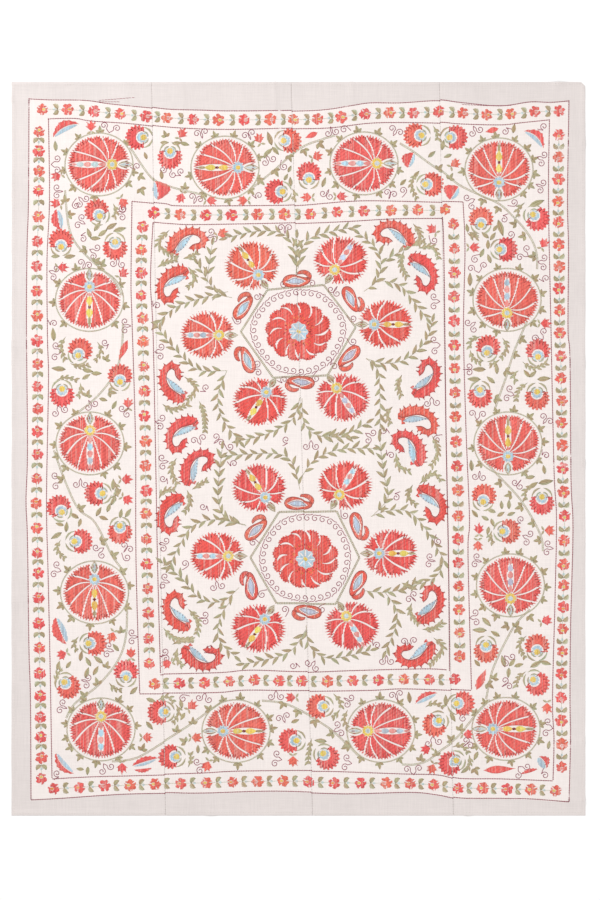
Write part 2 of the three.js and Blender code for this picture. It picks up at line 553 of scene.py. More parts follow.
def trefoil(base, degrees, size):
    """A three-lobed leaf, its side lobes well spread."""
    dye = mixed(OLIVE, BROWN_OLIVE, rng.uniform(0, 0.8))
    for spread, length in ((-62, 0.72), (0, 1.0), (62, 0.72)):
        leaf(base, degrees + spread, size * length, size * 0.46, dye)


def star(place, radius, points, depth, turn=0.0):
    """A pointed star whose notches are depth deep."""
    reaches = (radius, radius - depth)
    return [toward(place, turn + 180 * k / points, reaches[k % 2]) for k in range(2 * points)]


def scalloped(place, radius, lobes, depth, turn=0.0):
    """A round outline of soft lobes."""
    outline = []
    for degrees in range(0, 360, 12):
        round_lobe = abs(math.cos(math.radians(lobes * (degrees - turn) / 2))) ** 0.7
        reach = (radius - depth * (1 - round_lobe)) * rng.uniform(0.96, 1.04)
        outline.append(toward(place, degrees, reach))
    return outline


def hub(place, colour, radius):
    """A pointed star with a small eye of another colour. Returns its outline."""
    skein, dye = THREAD_COLOURS[colour]
    eye = ellipse(place, radius * 0.4, radius * 0.38, 8)
    outline = star(place, radius, 10, radius * 0.24, rng.uniform(0, 36))
    fill(skein, outline, dye, insets=[eye], snug=True)
    other, other_dye = THREAD_COLOURS["grey" if colour == "yellow" else "yellow"]
    fill(other, eye, other_dye, snug=True)
    return outline


# The spots of a tongue. first and last are shares of its length, and share is a share of its half width.
# A spot with no colour here has the tongue's own.
YELLOW_SPOTS = table(
    "first last share colour",
    (0.0, 0.16, 0.5, "pink"), (0.1, 0.42, 1.15, ""), (0.36, 0.5, 0.6, "maroon"), (0.44, 0.78, 1.2, ""),
    (0.7, 1.0, 0.6, "olive"),
)
PALE_SPOTS = table(
    "first last share colour",
    (0.0, 0.26, 0.8, "pink"), (0.2, 0.46, 1.1, ""), (0.4, 0.66, 1.05, "pink"), (0.6, 0.84, 1.0, ""),
    (0.8, 1.02, 0.6, "pink"),
)


def flame(start, degrees, length, half_width, colour):
    """A tongue of pointed spots: fat ones of one colour, and slender ones of others between them."""
    for spot in YELLOW_SPOTS if colour == "yellow" else PALE_SPOTS:
        first = toward(start, degrees, length * spot.first)
        last = toward(start, degrees, length * spot.last)
        skein, dye = THREAD_COLOURS[spot.colour or colour]
        fill(skein, lens(first, last, half_width * spot.share, widest=0.4), varied(dye, 0.1), snug=True)


def dark_notches(rim, middle, shortest, longest):
    """Short dark stitches that run inwards from the notches of a toothed rim."""
    for notch in rim[1::2]:
        inner = toward(notch, heading(notch, middle) + rng.uniform(-8, 8), rng.uniform(shortest, longest))
        prick(red, notch, inner, 0.38, mixed(CRIMSON, MAROON, rng.uniform(0.4, 1)))


def distance_to_rim(start, degrees, place, rx, ry):
    """How far an ellipse's rim is from a start inside it, in a direction."""
    c = math.cos(math.radians(degrees))
    s = math.sin(math.radians(degrees))
    ox = start[0] - place[0]
    oy = start[1] - place[1]
    a = (c / rx) ** 2 + (s / ry) ** 2
    b = 2 * (ox * c / rx ** 2 + oy * s / ry ** 2)
    return (-b + math.sqrt(b * b - 4 * a * ((ox / rx) ** 2 + (oy / ry) ** 2 - 1))) / (2 * a)


# Each vein is drawn on both sides of the flower's axis, and ends at a share of the way to the rim.
MEDALLION_VEINS = table(
    "angle end half_width bend",
    (22, 0.94, 0.42, 1.4), (43, 0.95, 0.46, 2.4), (69, 0.95, 0.46, 2.8), (102, 0.93, 0.5, 0.6),
)
CARNATION_VEINS = table(
    "angle end half_width bend",
    (33, 0.93, 0.55, 2.0), (65, 0.95, 0.6, 2.6), (105, 0.95, 0.55, 1.4),
)
FanShape = namedtuple("FanShape", "rx ry veins tooth depth bud_dye")
MEDALLION = FanShape(rx=32.4, ry=29.8, veins=MEDALLION_VEINS, tooth=3.0, depth=3.0, bud_dye=GREY_BLUE)
CARNATION = FanShape(rx=28.8, ry=25.8, veins=CARNATION_VEINS, tooth=3.4, depth=4.4, bud_dye=BROWN_OLIVE)


HUB_RADIUS = 6.4


def fan_flower(place, shape, axis, hub_colour, flame_colour, dye):
    """A round flower from the side: petals fan out from an off-centre hub, with a tongue between them."""
    hub_place = toward(place, axis + 180, 0.44 * shape.ry)
    rim = toothed_rim(place, shape.rx, shape.ry, shape.tooth, shape.depth)

    def rim_distance(degrees):
        return distance_to_rim(hub_place, degrees, place, shape.rx, shape.ry)

    gaps = []
    for vein in shape.veins:
        for side in (-1, 1):
            angle = axis + side * (vein.angle + rng.uniform(-4, 4))
            reach = rim_distance(angle)
            start = toward(hub_place, axis + side * vein.angle * 0.8, 5.8)
            end = toward(hub_place, angle, reach * vein.end * rng.uniform(0.95, 1.03))
            width = vein.half_width * rng.uniform(0.85, 1.2)
            gaps.append(vein_gap(start, end, width, side * vein.bend * rng.uniform(0.7, 1.3)))
    tongue_length = rim_distance(axis) * 0.94 - 5.5
    tongue_start = toward(hub_place, axis, 5.5)
    gaps.append(lens(toward(hub_place, axis, 2), toward(hub_place, axis, tongue_length + 8), 3.2, widest=0.5))
    bud_end = toward(hub_place, axis + 180, rim_distance(axis + 180) + 2.6)
    gaps.append(lens(toward(hub_place, axis + 180, 2), toward(bud_end, axis + 180, 3), 4.9))
    star_outline = hub(hub_place, hub_colour, HUB_RADIUS)
    fill(red, rim, dye, gaps, [star_outline], tip_dye=mixed(dye, MAROON, 0.7))
    dark_notches(rim, place, 1.8, 4.2)
    flame(tongue_start, axis, tongue_length, 2.7, flame_colour)
    bud = lens(toward(hub_place, axis + 180, 5.2), bud_end, 3.6, widest=0.45)
    core = lens(toward(hub_place, axis + 180, 7.0), toward(bud_end, axis, 2.4), 1.5)
    fill(green, bud, OLIVE, insets=[core])
    fill(green, core, shape.bud_dye, snug=True)


RING_RX = 34.4
RING_RY = 31.8


def ring_of_leaves(place, leaf_angles):
    """The stitched ring round a medallion, with three-lobed leaves outside it."""
    for inset in (0, 0.7):
        ring = ellipse(place, RING_RX - inset, RING_RY - inset, 64) + [toward(place, 0, RING_RX - inset)]
        stem(green, ring, mixed(OLIVE, PALE_OLIVE, 0.6), 1.15)
    for angle in leaf_angles:
        a = math.radians(angle)
        base = (place[0] + (RING_RX + 0.2) * math.cos(a), place[1] + (RING_RY + 0.2) * math.sin(a))
        trefoil(base, angle + rng.uniform(-12, 12), rng.uniform(6.4, 7.8))


ROSETTE_RX = 34.5
ROSETTE_RY = 31.0
ROSETTE_PETALS = 12
ROSETTE_SPECKS = 90


def rosette(place, turn):
    """A large round flower of swirling petals round a star."""
    rim = toothed_rim(place, ROSETTE_RX, ROSETTE_RY, 2.9, 1.6, ROSETTE_PETALS, 3.0, turn)
    gaps = []
    for k in range(ROSETTE_PETALS):
        angle = turn + 360 * k / ROSETTE_PETALS + rng.uniform(-3, 3)
        outer = toward(place, angle, ROSETTE_RY * rng.uniform(0.9, 0.98))
        inner = toward(place, angle - 15, ROSETTE_RY * rng.uniform(0.52, 0.62))
        gaps.append(lens(inner, outer, rng.uniform(0.5, 0.85), -2.4, widest=0.6))
    petals = scalloped(place, 9.8, 8, 2.6)
    fill(red, rim, MIDDLE_RED, gaps, [petals], tip_dye=mixed(RED, MAROON, 0.7))
    dark_notches(rim, place, 1.5, 3.4)
    for k in range(ROSETTE_SPECKS):
        outward = 4 * k
        start = toward(place, outward + rng.uniform(-3, 3), rng.uniform(9.2, 14.5))
        end = toward(start, outward, rng.uniform(1.6, 3))
        prick(red, start, end, 0.3, rng.choice([MAROON, CRIMSON, ORANGE]))
    eye = ellipse(place, 2.2, 2.2, 8)
    veins = [lens(toward(place, 45 * k, 3), toward(place, 45 * k, 9.5), 0.35) for k in range(8)]
    fill(blue, petals, BLUE, veins, [eye], snug=True)
    fill(yellow, eye, YELLOW, snug=True)


def spiral(centre, start, hand, radius, turns=1.35):
    """Points that wind inwards about a centre from a direction. hand is 1 for anticlockwise."""
    count = round(turns * 9)
    return [toward(centre, start + hand * 360 * turns * k / count, radius * (1 - 0.76 * k / count))
            for k in range(count + 1)]


RUNNING_RADIUS = 3.7
RUNNING_SPACING = 7.7
RUNNING_PLACE = 0.78


def running_spirals(place, corners):
    """Small spirals, each joined to the next, in a line inside a many-sided frame."""
    inner = [between(place, corner, RUNNING_PLACE) for corner in corners]
    nodes = even_points(smooth(inner, closed=True, steps=4), RUNNING_SPACING)
    for i in range(len(nodes) - 1):
        centre = nodes[i]
        onward = heading(nodes[i], nodes[i + 1])
        joint = toward(nodes[i + 1], onward + 120, RUNNING_RADIUS * 1.3)
        wound = [joint] + spiral(centre, onward + 55, 1, RUNNING_RADIUS, 1.25)
        stem(lines, smooth(wound, steps=2), CURL_CRIMSON, CURL_WIDTH, pitch=1.4)


COMB_RADIUS = 12.9
COMB_PETALS = 13
# The comb bends round by this angle to each side, and a petal's edge goes through these shares of the radius.
COMB_REACH = 126
COMB_PETAL_EDGE = (0.87, 1.0, 1.04, 1.0)


def crescent_flower(place, opens):
    """A comb of soft red petals bent round a starred hub, with a calyx of bowed leaves where it opens."""
    hub_place = toward(place, opens, 4.2)
    star_place = toward(place, opens, 5.6)
    dye = leaning_red(RED, 0.6)
    rim = []
    for k in range(4 * COMB_PETALS + 1):
        share = k / (2 * COMB_PETALS) - 1
        distance = COMB_RADIUS * (COMB_PETAL_EDGE[k % 4] - 0.1 * abs(share) ** 4)
        rim.append(toward(place, opens + 180 + COMB_REACH * share, distance * rng.uniform(0.98, 1.02)))
    bay = [toward(hub_place, opens + 180 - COMB_REACH * 0.8 * k / 6, 6.1) for k in range(-6, 7)]
    fill(red, rim + bay, dye, tip_dye=mixed(dye, MAROON, 0.6))
    for notch in rim[::4]:
        inner = toward(notch, heading(notch, hub_place), rng.uniform(2.6, 4.8))
        prick(red, notch, inner, 0.42, mixed(CRIMSON, MAROON, rng.uniform(0.4, 1)))
    petals_ring = scalloped(hub_place, 5.6, 9, 1.3, rng.uniform(0, 40))
    eye = star(star_place, 3.7, 8, 0.9, rng.uniform(0, 40))
    fill(blue, petals_ring, BLUE, insets=[eye], snug=True)
    fill(yellow, eye, YELLOW, snug=True)
    for side in (-1, 1):
        for distance, half_width, dye in ((6.3, 0.95, mixed(OLIVE, GREY_BLUE, 0.4)), (10.4, 1.1, PALE_OLIVE)):
            arc = [toward(hub_place, opens + side * angle, distance) for angle in (6, 32, 60, 88)]
            blade(green, smooth(arc, steps=2), half_width, dye, OLIVE, threads=2)


BUD_LENGTH = 11.4
# A bud's ragged edge: the direction of each point from its base, and the share of its length
BUD_POINTS = [
    (-48, 0.74), (-34, 0.62), (-24, 1.0), (-12, 0.76), (0, 1.1), (12, 0.76), (24, 1.0), (34, 0.62),
    (48, 0.74),
]


def bud_flower(place, degrees):
    """A small ragged flower on a pair of sepals."""
    dye = leaning_red(RED, 0.7)
    base = toward(place, degrees + 180, BUD_LENGTH * 0.45)
    outline = [base]
    for angle, reach in BUD_POINTS:
        outline.append(toward(base, degrees + angle, reach * BUD_LENGTH * rng.uniform(0.92, 1.08)))
    fill(red, outline, dye, tip_dye=mixed(dye, MAROON, 0.6))
    for side in (-1, 1):
        leaf(base, degrees + side * 118, 5.0, 2.3, PALE_OLIVE, threads=2)


# The middle of a paisley's red band, and half its width, as it lies when it heads 25 degrees up to the right
PAISLEY_HEADING = 25
THORN_PITCH = 5.2
# The four steps of a thorn: how far each stands out
THORN_EDGE = (0.0, 0.15, 0.3, 1.0)
PAISLEY_SPINE = [
    (-19.5, -12.0, 1.2), (-16.4, -7.5, 3.9), (-13.4, -1.5, 4.6), (-8.0, 4.8, 4.2), (-0.5, 8.6, 3.6),
    (7.0, 9.2, 3.3), (13.6, 6.4, 3.1), (17.0, 0.6, 3.0), (13.6, -4.8, 2.8), (7.2, -6.2, 2.5),
    (2.6, -8.4, 0.8),
]
PAISLEY_TONGUE = ((6.6, 6.0), (-11.0, -13.0))
PAISLEY_BASE = [
    (-20, -11.6), (-14, -8), (-10.4, -9.6), (-7.4, -13.4), (-10, -16.6), (-12.6, -13.6), (-16, -15),
]
# A small one heading to the right: a fat drop, a hook that curls back over it, and a pale middle
DROP_BODY = [
    (-15, -0.8), (-12.8, 3.8), (-7.5, 5.8), (-1.5, 5.2), (3.5, 3.5), (8, 1.8), (12, 1.2), (13.8, -1.6),
    (10.5, -4.8), (3.5, -6.6), (-5, -7.2), (-12, -5.4),
]
DROP_HOOK = [(12.6, -0.4, 1.8), (13.2, 3.6, 2.3), (9.6, 7.0, 2.2), (4.6, 7.8, 1.7), (1.2, 6.4, 0.7)]


def ribbon(spine, thorn=0.0):
    """The outline of a band along a spine of x, y and half width, with thorns that lean on along its left."""
    curve = even_points(smooth(spine, steps=5), THORN_PITCH / 4)
    left = []
    right = []
    for i, (x, y, half) in enumerate(curve):
        reach = THORN_EDGE[i % 4] if 2 < i < len(curve) - 2 else 0.0
        left.append(offset_point(curve, i, half + thorn * reach * rng.uniform(0.85, 1.15)))
        right.append(offset_point(curve, i, -half))
    return left + right[::-1]


def paisley(place, degrees, hand):
    """A hooked band of red with thorns on its back, and a blue tongue inside it."""
    def placed(outline):
        return moved(turned(turned(outline, -PAISLEY_HEADING), degrees, flip=hand), place)

    body = placed(ribbon(PAISLEY_SPINE, 3.0))
    start, end = PAISLEY_TONGUE
    tongue = placed(lens(start, end, 3.2, -1.4, widest=0.6))
    halo = placed(lens(start, end, 4.0, -1.4, widest=0.6))
    base = placed(PAISLEY_BASE)
    dye = leaning_red(MIDDLE_RED, 0.5)
    dark = mixed(dye, MAROON, 0.85)
    fill(red, body, dye, gaps=[halo], tip_dye=dark)
    fill(red, base, dye, insets=[body], gaps=[halo], tip_dye=dark)
    fill(blue, tongue, BLUE, snug=True)
    count = len(body) // 2
    edging(red, body[count:], mixed(dye, MAROON, 0.7), 0.38)
    edging(blue, tongue[8:] + tongue[:1], mixed(BLUE, MAROON, 0.6), 0.22)
    for i in range(3, count - 1, 4):
        across = heading(body[i], body[2 * count - 1 - i])
        prick(red, body[i], toward(body[i], across, rng.uniform(2.4, 3.6)), 0.4, dark)
    for k in range(1, 8):
        notch = tongue[k]
        prick(blue, notch, toward(notch, heading(notch, tongue[16 - k]), 1.8), 0.3, mixed(BLUE, MAROON, 0.8))


def small_paisley(place, degrees):
    """A fat drop with a hook over it and a pale middle."""
    def placed(outline):
        return moved(turned(outline, degrees, scale=0.97), place)

    body = placed(smooth(DROP_BODY, closed=True, steps=3))
    hook = placed(ribbon(DROP_HOOK))
    middle = placed(lens((-11.0, -1.0), (7.6, -1.8), 2.9, 0.5))
    halo = placed(lens((-12.0, -1.0), (8.6, -1.8), 3.8, 0.5))
    dye = mixed(MIDDLE_RED, WARM_RED, rng.uniform(0, 1))
    dark = mixed(dye, MAROON, 0.7)
    fill(red, body, dye, gaps=[halo], tip_dye=dark)
    fill(red, hook, dye, insets=[body], tip_dye=dark)
    fill(blue, middle, mixed(LILAC, BLUE, rng.uniform(0, 1)), snug=True)
    edging(red, body, dark)
    edging(red, hook + hook[:1], dark, 0.26)
    edging(blue, middle, mixed(LILAC, MAROON, 0.7), 0.24)


def small_flower(place, flow):
    """A flower of a border row: six soft petals round an eye that sits towards the stem."""
    radius = rng.uniform(6.1, 6.8)
    dye = leaning_red(RED, 0.8)
    rim = scalloped(place, radius, 6, 1.7, rng.uniform(0, 60))
    eye = ellipse(toward(place, flow + 180, 1.6), 1.8, 1.7, 8)
    turn = rng.uniform(0, 60)
    gaps = [lens(toward(place, turn + 120 * k, 3.2), toward(place, turn + 120 * k, radius + 1), 0.35)
            for k in range(3)]
    fill(red, rim, dye, gaps, [eye], tip_dye=mixed(dye, MAROON, 0.6))
    skein, eye_dye = THREAD_COLOURS[rng.choice(["yellow", "orange", "yellow", "pink"])]
    fill(skein, eye, eye_dye, snug=True)


def leaf_cap(place, flow):
    """Two leaves that meet over the stem, with a pale wedge between them."""
    for side in (-1, 1):
        base = toward(place, flow + 180, 2.8)
        tip = toward(toward(place, flow, 2.2), flow + 90 * side, 4.8)
        bowed = toward(toward(place, flow + 180, 1.2), flow + 90 * side, 3.8)
        dye = OLIVE if side > 0 else PALE_OLIVE
        blade(green, smooth([base, bowed, tip], steps=3), 2.3, dye, BROWN_OLIVE)
    wedge = [toward(place, flow + 180, 0.6), toward(place, flow, 2.4)]
    blade(blue, wedge, 1.3, GREY_BLUE, threads=2, rings=2)


def row_link(start, end, flow):
    """The stem between two flowers of a row, with a leaf cap at its middle."""
    stem(green, [start, end], PALE_OLIVE, 0.8)
    leaf_cap(midpoint(start, end), flow)


def flower_rows(rows, halfway):
    """Small flowers at even places between two frame lines, with a leaf cap between each two."""
    flows = {"top": 180, "left": 270, "bottom": 0, "right": 90}
    last = {}
    for row in rows:
        flow = flows[row.side]
        spacing = (row.last - row.first) / (row.count - 1)
        middles = [halfway(row.side, row.first + spacing * k) for k in range(row.count)]
        before = [last[row.side]] if row.side in last else []
        linked = before + middles
        for start, end in zip(linked, linked[1:]):
            row_link(start, end, flow)
        for middle in middles:
            small_flower((middle[0] + rng.uniform(-0.4, 0.4), middle[1] + rng.uniform(-0.4, 0.4)), flow)
        last[row.side] = middles[-1]


STEM_LEAF_LENGTH = 10.9
STEM_LEAF_WIDTH = 3.5
STEM_LEAF_SPREAD = 36
SINGLE_LEAF_PITCH = 4.9
PAIRED_LEAF_PITCH = SINGLE_LEAF_PITCH * 1.9


def leafy_stem(path, paired):
    """A stem that sends out leaves in pairs, or to its two sides in turn, and ends in one."""
    curve = smooth(path)
    stem(green, curve, OLIVE, 1.1)
    nodes = even_points(curve, PAIRED_LEAF_PITCH if paired else SINGLE_LEAF_PITCH)
    for i, node in enumerate(nodes[1:-1], start=1):
        direction = heading(nodes[i - 1], nodes[i + 1])
        for side in (-1, 1) if paired else ((-1) ** i,):
            turn = side * (STEM_LEAF_SPREAD + rng.uniform(-7, 7))
            size = rng.uniform(0.85, 1.08)
            tone = mixed(OLIVE, rng.choice([BROWN_OLIVE, PALE_OLIVE]), rng.uniform(0, 0.4))
            leaf(node, direction + turn, STEM_LEAF_LENGTH * size, STEM_LEAF_WIDTH * size, tone, -side * 0.8)
    leaf(nodes[-1], heading(nodes[-2], nodes[-1]), STEM_LEAF_LENGTH * 0.9, STEM_LEAF_WIDTH)


def winding_vine(path):
    """A smooth pale line of two ropes."""
    curve = smooth(path)
    for aside in (-0.6, 0.6):
        rope = [offset_point(curve, i, aside) for i in range(len(curve))]
        stem(green, rope, mixed(OLIVE, PALE_OLIVE, 0.5), 1.45)


def feathered_leaf(start, middle, end, half_width):
    """A bowed leaf with leaflets along its two sides, longest on the outer one."""
    path = smooth([start, middle, end], steps=5)
    dye = mixed(OLIVE, PALE_OLIVE, rng.uniform(0, 0.6))
    blade(green, path, half_width, dye, BROWN_OLIVE, rings=5)
    outer = 1 if math.sin(math.radians(heading(start, middle) - heading(start, end))) > 0 else -1
    nodes = even_points(path, 4.4)
    for before, node, after in zip(nodes, nodes[1:], nodes[2:]):
        for side, reach in ((outer, 4.0), (-outer, 2.6)):
            length = (reach + 1.3 * half_width) * rng.uniform(0.85, 1.15)
            leaf(node, heading(before, after) + side * 34, length, 2.6, dye, threads=2)


def half_moon(start, end, outer, middle, inner):
    """A red bow with a toothed back and a blue lining, whose edges swing by three distances to the left."""
    aside = heading(start, end) + 90
    tooth = math.copysign(1.1, outer)

    def bow(swing):
        shares = [k / 12 for k in range(13)]
        return [toward(between(start, end, t), aside, swing * math.sin(math.pi * t) ** 0.8) for t in shares]

    toothed = [toward(point, aside, tooth * (i % 2)) for i, point in enumerate(bow(outer))]
    dye = mixed(RED, CRIMSON, rng.uniform(0, 0.5))
    fill(red, toothed + bow(middle)[::-1], dye, tip_dye=mixed(RED, MAROON, 0.6))
    if inner != middle:
        fill(blue, bow(middle)[1:-1] + bow(inner)[-2:0:-1], BLUE)


CURL_RADIUS = 3.9


def curls(centres):
    """Spirals in twos, like a ram's horns on one root. An odd one winds off a short tail."""
    for i in range(0, len(centres), 2):
        if i + 1 < len(centres):
            first, second = centres[i], centres[i + 1]
            across = heading(first, second)
            up = rng.choice([-1, 1])
            root = toward(midpoint(first, second), across - up * 90, CURL_RADIUS * 1.5)
            horns = [(first, across - up * 40, up), (second, across + 180 + up * 40, -up)]
        else:
            first = centres[i]
            direction = rng.uniform(0, 360)
            root = toward(first, direction - 60, CURL_RADIUS * 1.8)
            horns = [(first, direction, rng.choice([-1, 1]))]
        for centre, start, hand in horns:
            wound = [root] + spiral(centre, start, hand, CURL_RADIUS)
            stem(lines, smooth(wound, steps=2), CURL_CRIMSON, CURL_WIDTH, pitch=1.3)


# The layout. Places are in pixels of the photo.

Line = namedtuple("Line", "top left right bottom")
OUTER_LINE = Line(
    top=[(29, 98.5), (50, 99.5), (85, 100), (110, 103.5), (150, 107.5), (170, 109.7), (200, 110.5),
         (230, 111.3), (290, 110.8), (323, 109.5), (350, 105.5), (370, 102.5), (400, 102.5), (437, 100.3),
         (460, 103), (500, 106.5), (530, 102.5), (550, 103), (569, 101.5)],
    left=[(29, 98), (28.5, 200), (27, 250), (26.5, 330), (27.5, 450), (26, 500), (27.5, 540), (29, 650),
          (30.5, 700), (31, 799.5)],
    right=[(569, 101), (567.5, 200), (568.5, 250), (568, 330), (570, 360), (571, 480), (573, 530),
           (570.5, 630), (570, 700), (570.5, 740), (569, 802.5)],
    bottom=[(31.5, 799.5), (60, 798), (120, 794), (165, 793), (200, 793.5), (275, 791.5), (345, 793.5),
            (410, 792), (437, 794.5), (460, 798.5), (500, 799), (530, 799.5), (569, 802.5)],
)
SECOND_LINE = Line(
    top=[(48, 118.5), (75, 118), (90, 120.5), (130, 123.3), (175, 128), (225, 129.8), (290, 128.5),
         (330, 127.5), (375, 122.5), (437, 122.7), (460, 124.5), (500, 125.5), (520, 123.5), (549, 120.5)],
    left=[(48.5, 118.5), (49.5, 200), (47, 260), (47.5, 340), (48.5, 380), (46.5, 500), (48, 570), (50, 660),
          (52, 778)],
    right=[(549.5, 120), (548.5, 200), (551, 330), (554, 470), (556.5, 520), (555, 600), (552.5, 700),
           (554, 740), (553, 781)],
    bottom=[(52.5, 778.5), (90, 776.5), (130, 775.5), (200, 773.5), (240, 771.5), (325, 771), (400, 773.5),
            (437, 774.5), (460, 779), (500, 779.5), (553, 781.5)],
)
THIRD_LINE = Line(
    top=[(132, 201), (165, 204), (180, 206.3), (260, 206), (300, 205), (345, 201.3), (380, 200.5),
         (463, 202.5)],
    left=[(132, 201), (131, 280), (132, 320), (135.5, 440), (136, 560), (139.7, 693)],
    right=[(463, 202.5), (465, 250), (463.5, 330), (466, 430), (469.5, 520), (468, 555), (471.5, 690.5)],
    bottom=[(139.7, 693.5), (215, 693), (245, 690.5), (298, 691), (370, 690), (400, 688.5), (440, 689.5),
            (471.5, 691)],
)
INNER_LINE = Line(
    top=[(153, 222.5), (170, 224), (200, 225), (300, 223), (350, 221), (395, 218.5), (442, 218)],
    left=[(153, 222), (150.5, 280), (153, 330), (155.5, 450), (157.5, 560), (160.5, 673)],
    right=[(442.5, 218), (444, 260), (446, 430), (448.5, 560), (449.5, 671)],
    bottom=[(160.5, 674.5), (220, 673), (250, 670.5), (300, 672), (345, 670.5), (395, 669), (430, 668.5),
            (447, 669.5)],
)

OUTER_ROWS = table(
    "side first last count",
    ("top", 42, 146, 5), ("top", 167, 270, 5), ("top", 294, 413, 6), ("top", 439, 559, 6),
    ("left", 131, 190, 4), ("left", 216, 340, 6), ("left", 363.5, 454, 5), ("left", 478, 552.5, 4),
    ("left", 572.5, 673, 5), ("left", 696, 778, 5),
    ("right", 135, 202, 4), ("right", 223, 333.5, 6), ("right", 356.5, 446, 5), ("right", 468.5, 565, 5),
    ("right", 586, 674, 5), ("right", 698, 768, 4),
    ("bottom", 54, 130, 4), ("bottom", 155, 258, 5), ("bottom", 283, 386, 5), ("bottom", 410, 458, 3),
    ("bottom", 482.5, 555.5, 4),
)
INNER_ROWS = table(
    "side first last count",
    ("top", 153.5, 284, 6), ("top", 310, 445, 6), ("left", 226.5, 341, 6), ("left", 366, 490.5, 6),
    ("left", 513.5, 663, 7), ("right", 224.5, 346, 6), ("right", 368.5, 491, 6), ("right", 516.5, 657, 7),
    ("bottom", 154.5, 279.5, 6), ("bottom", 302, 455, 7),
)
# axis is the direction of the tongue, in degrees from the right.
MEDALLIONS = table(
    "px py axis hub flame",
    (99, 164, 180, "yellow", "grey"), (225, 168, 180, "blue", "yellow"), (364, 163, 180, "yellow", "blue"),
    (499, 170, 90, "blue", "yellow"), (89.5, 299.5, 270, "blue", "yellow"), (90, 443, 270, "yellow", "blue"),
    (94.5, 592, 270, "blue", "yellow"), (101, 729, 270, "yellow", "blue"), (236, 731.5, 0, "blue", "yellow"),
    (381, 730.5, 0, "yellow", "blue"), (506, 729.5, 0, "blue", "yellow"), (507, 300.5, 90, "yellow", "blue"),
    (508, 444, 90, "blue", "yellow"), (510.5, 586, 90, "yellow", "lilac"),
)
CARNATIONS = table(
    "px py axis hub flame",
    (252, 266, 124, "blue", "yellow"), (341, 260, 56, "yellow", "lilac"),
    (207.5, 335.5, 180, "yellow", "blue"), (385.5, 324, 0, "blue", "yellow"),
    (260, 402, 236, "blue", "yellow"), (343, 397, 304, "yellow", "lilac"),
    (259, 488.5, 124, "blue", "yellow"), (345, 484.5, 60, "yellow", "blue"),
    (217, 556.5, 180, "yellow", "blue"), (390.5, 553, 0, "blue", "yellow"),
    (258.5, 629, 236, "blue", "yellow"), (352, 625.5, 300, "yellow", "blue"),
)
ROSETTES = table("px py turn", (298.5, 331.5, 8), (305.5, 559, 2))
HEXAGONS = [
    [(267.4, 290.3), (323.7, 284.5), (355.7, 326.8), (327.5, 374.9), (273.2, 378.2), (240.8, 332.2)],
    [(279, 512.4), (336.6, 510.8), (359.4, 557.2), (335.8, 603.6), (276.5, 603.6), (250.4, 558)],
]
# hand is 1 where the hook turns clockwise, and -1 where it turns the other way.
PAISLEYS = table(
    "px py heading hand",
    (187, 241, 25, 1), (171, 284, 229, -1), (172, 383, 114, 1), (180, 434, 227, -1), (196, 466, 55, 1),
    (170, 514, 245, -1), (176, 612, 117, 1), (202, 658, -18, -1), (394, 233, 159, -1), (424, 272, -59, 1),
    (427, 378, 61, -1), (420, 419, -18, 1), (410, 446, 126, -1), (433, 503, -57, 1), (431, 604, 63, -1),
    (415, 654, 201, 1),
)
SMALL_PAISLEYS = table(
    "px py heading",
    (297, 280, 8), (243, 307, 55), (352, 299, -60), (246, 360, 114), (349, 357, 225), (300, 383, 180),
    (299, 503, 0), (256, 529, 45), (358, 526, -75), (250, 586, 100), (358, 584, 245), (307, 612, 175),
)
CRESCENTS = table(
    "px py opens",
    (138, 137, 0), (170, 157, 90), (289, 141, 180), (277, 192, 0), (309, 174, 270), (416, 135, 0),
    (455, 138, 180), (431, 184, 180), (97, 211, 300), (61, 241, 270), (115, 247, 90), (80, 350, 250),
    (62, 394, 90), (120, 376, 270), (97, 493, 0), (59, 507, 300), (80, 541, 180), (120, 531, 90),
    (94, 643, 180), (68, 686, 130), (126, 672, 270), (160, 712, 0), (171, 757, 0), (291, 741, 0),
    (319, 706, 0), (327, 757, 135), (435, 724, 45), (451, 763, 20), (462, 704, 180), (481, 220, 270),
    (537, 219, 135), (505, 250, 180), (488, 348, 260), (538, 352, 270), (480, 396, 90), (537, 398, 90),
    (484, 497, 260), (542, 503, 90), (508, 532, 180), (486, 651, 90), (537, 647, 270), (537, 684, 135),
)
BUDS = table(
    "px py heading",
    (91, 126, 90), (182, 134, 60), (259, 139, 110), (181, 198, 250), (211, 201, 0), (243, 201, 180),
    (317, 156, 20), (307, 197, 180), (341, 196, 0), (455, 164, 40), (56.5, 176, 200), (56, 203, 160),
    (123, 202, 300), (62.5, 267, 0), (123, 273, 45), (128, 403, 90), (126, 479, 0), (127, 499, 330),
    (112, 636, 250), (62, 654, 200), (131, 653, 90), (147, 737, 0), (122, 767, 270), (192, 706, 45),
    (196, 738, 0), (207, 766, 250), (291, 698, 180), (293, 761, 270), (426, 749, 200), (432, 768, 250),
    (468, 735, 0), (474, 248, 0), (544, 244, 60), (545, 324, 0), (479, 530, 90), (478, 546, 270),
    (549, 531, 0), (546, 621, 20), (547, 708, 270), (222, 234, 20), (432, 229, 140), (167, 664, 200),
)
LONG_BUDS = table(
    "start end half_width",
    ((118, 362), (128, 339), 3.6), ((304, 138), (318, 132), 3.2), ((484, 133), (499, 129), 3.2),
    ((487, 668), (476, 691), 4.2), ((517, 769), (483, 771), 4.2),
)
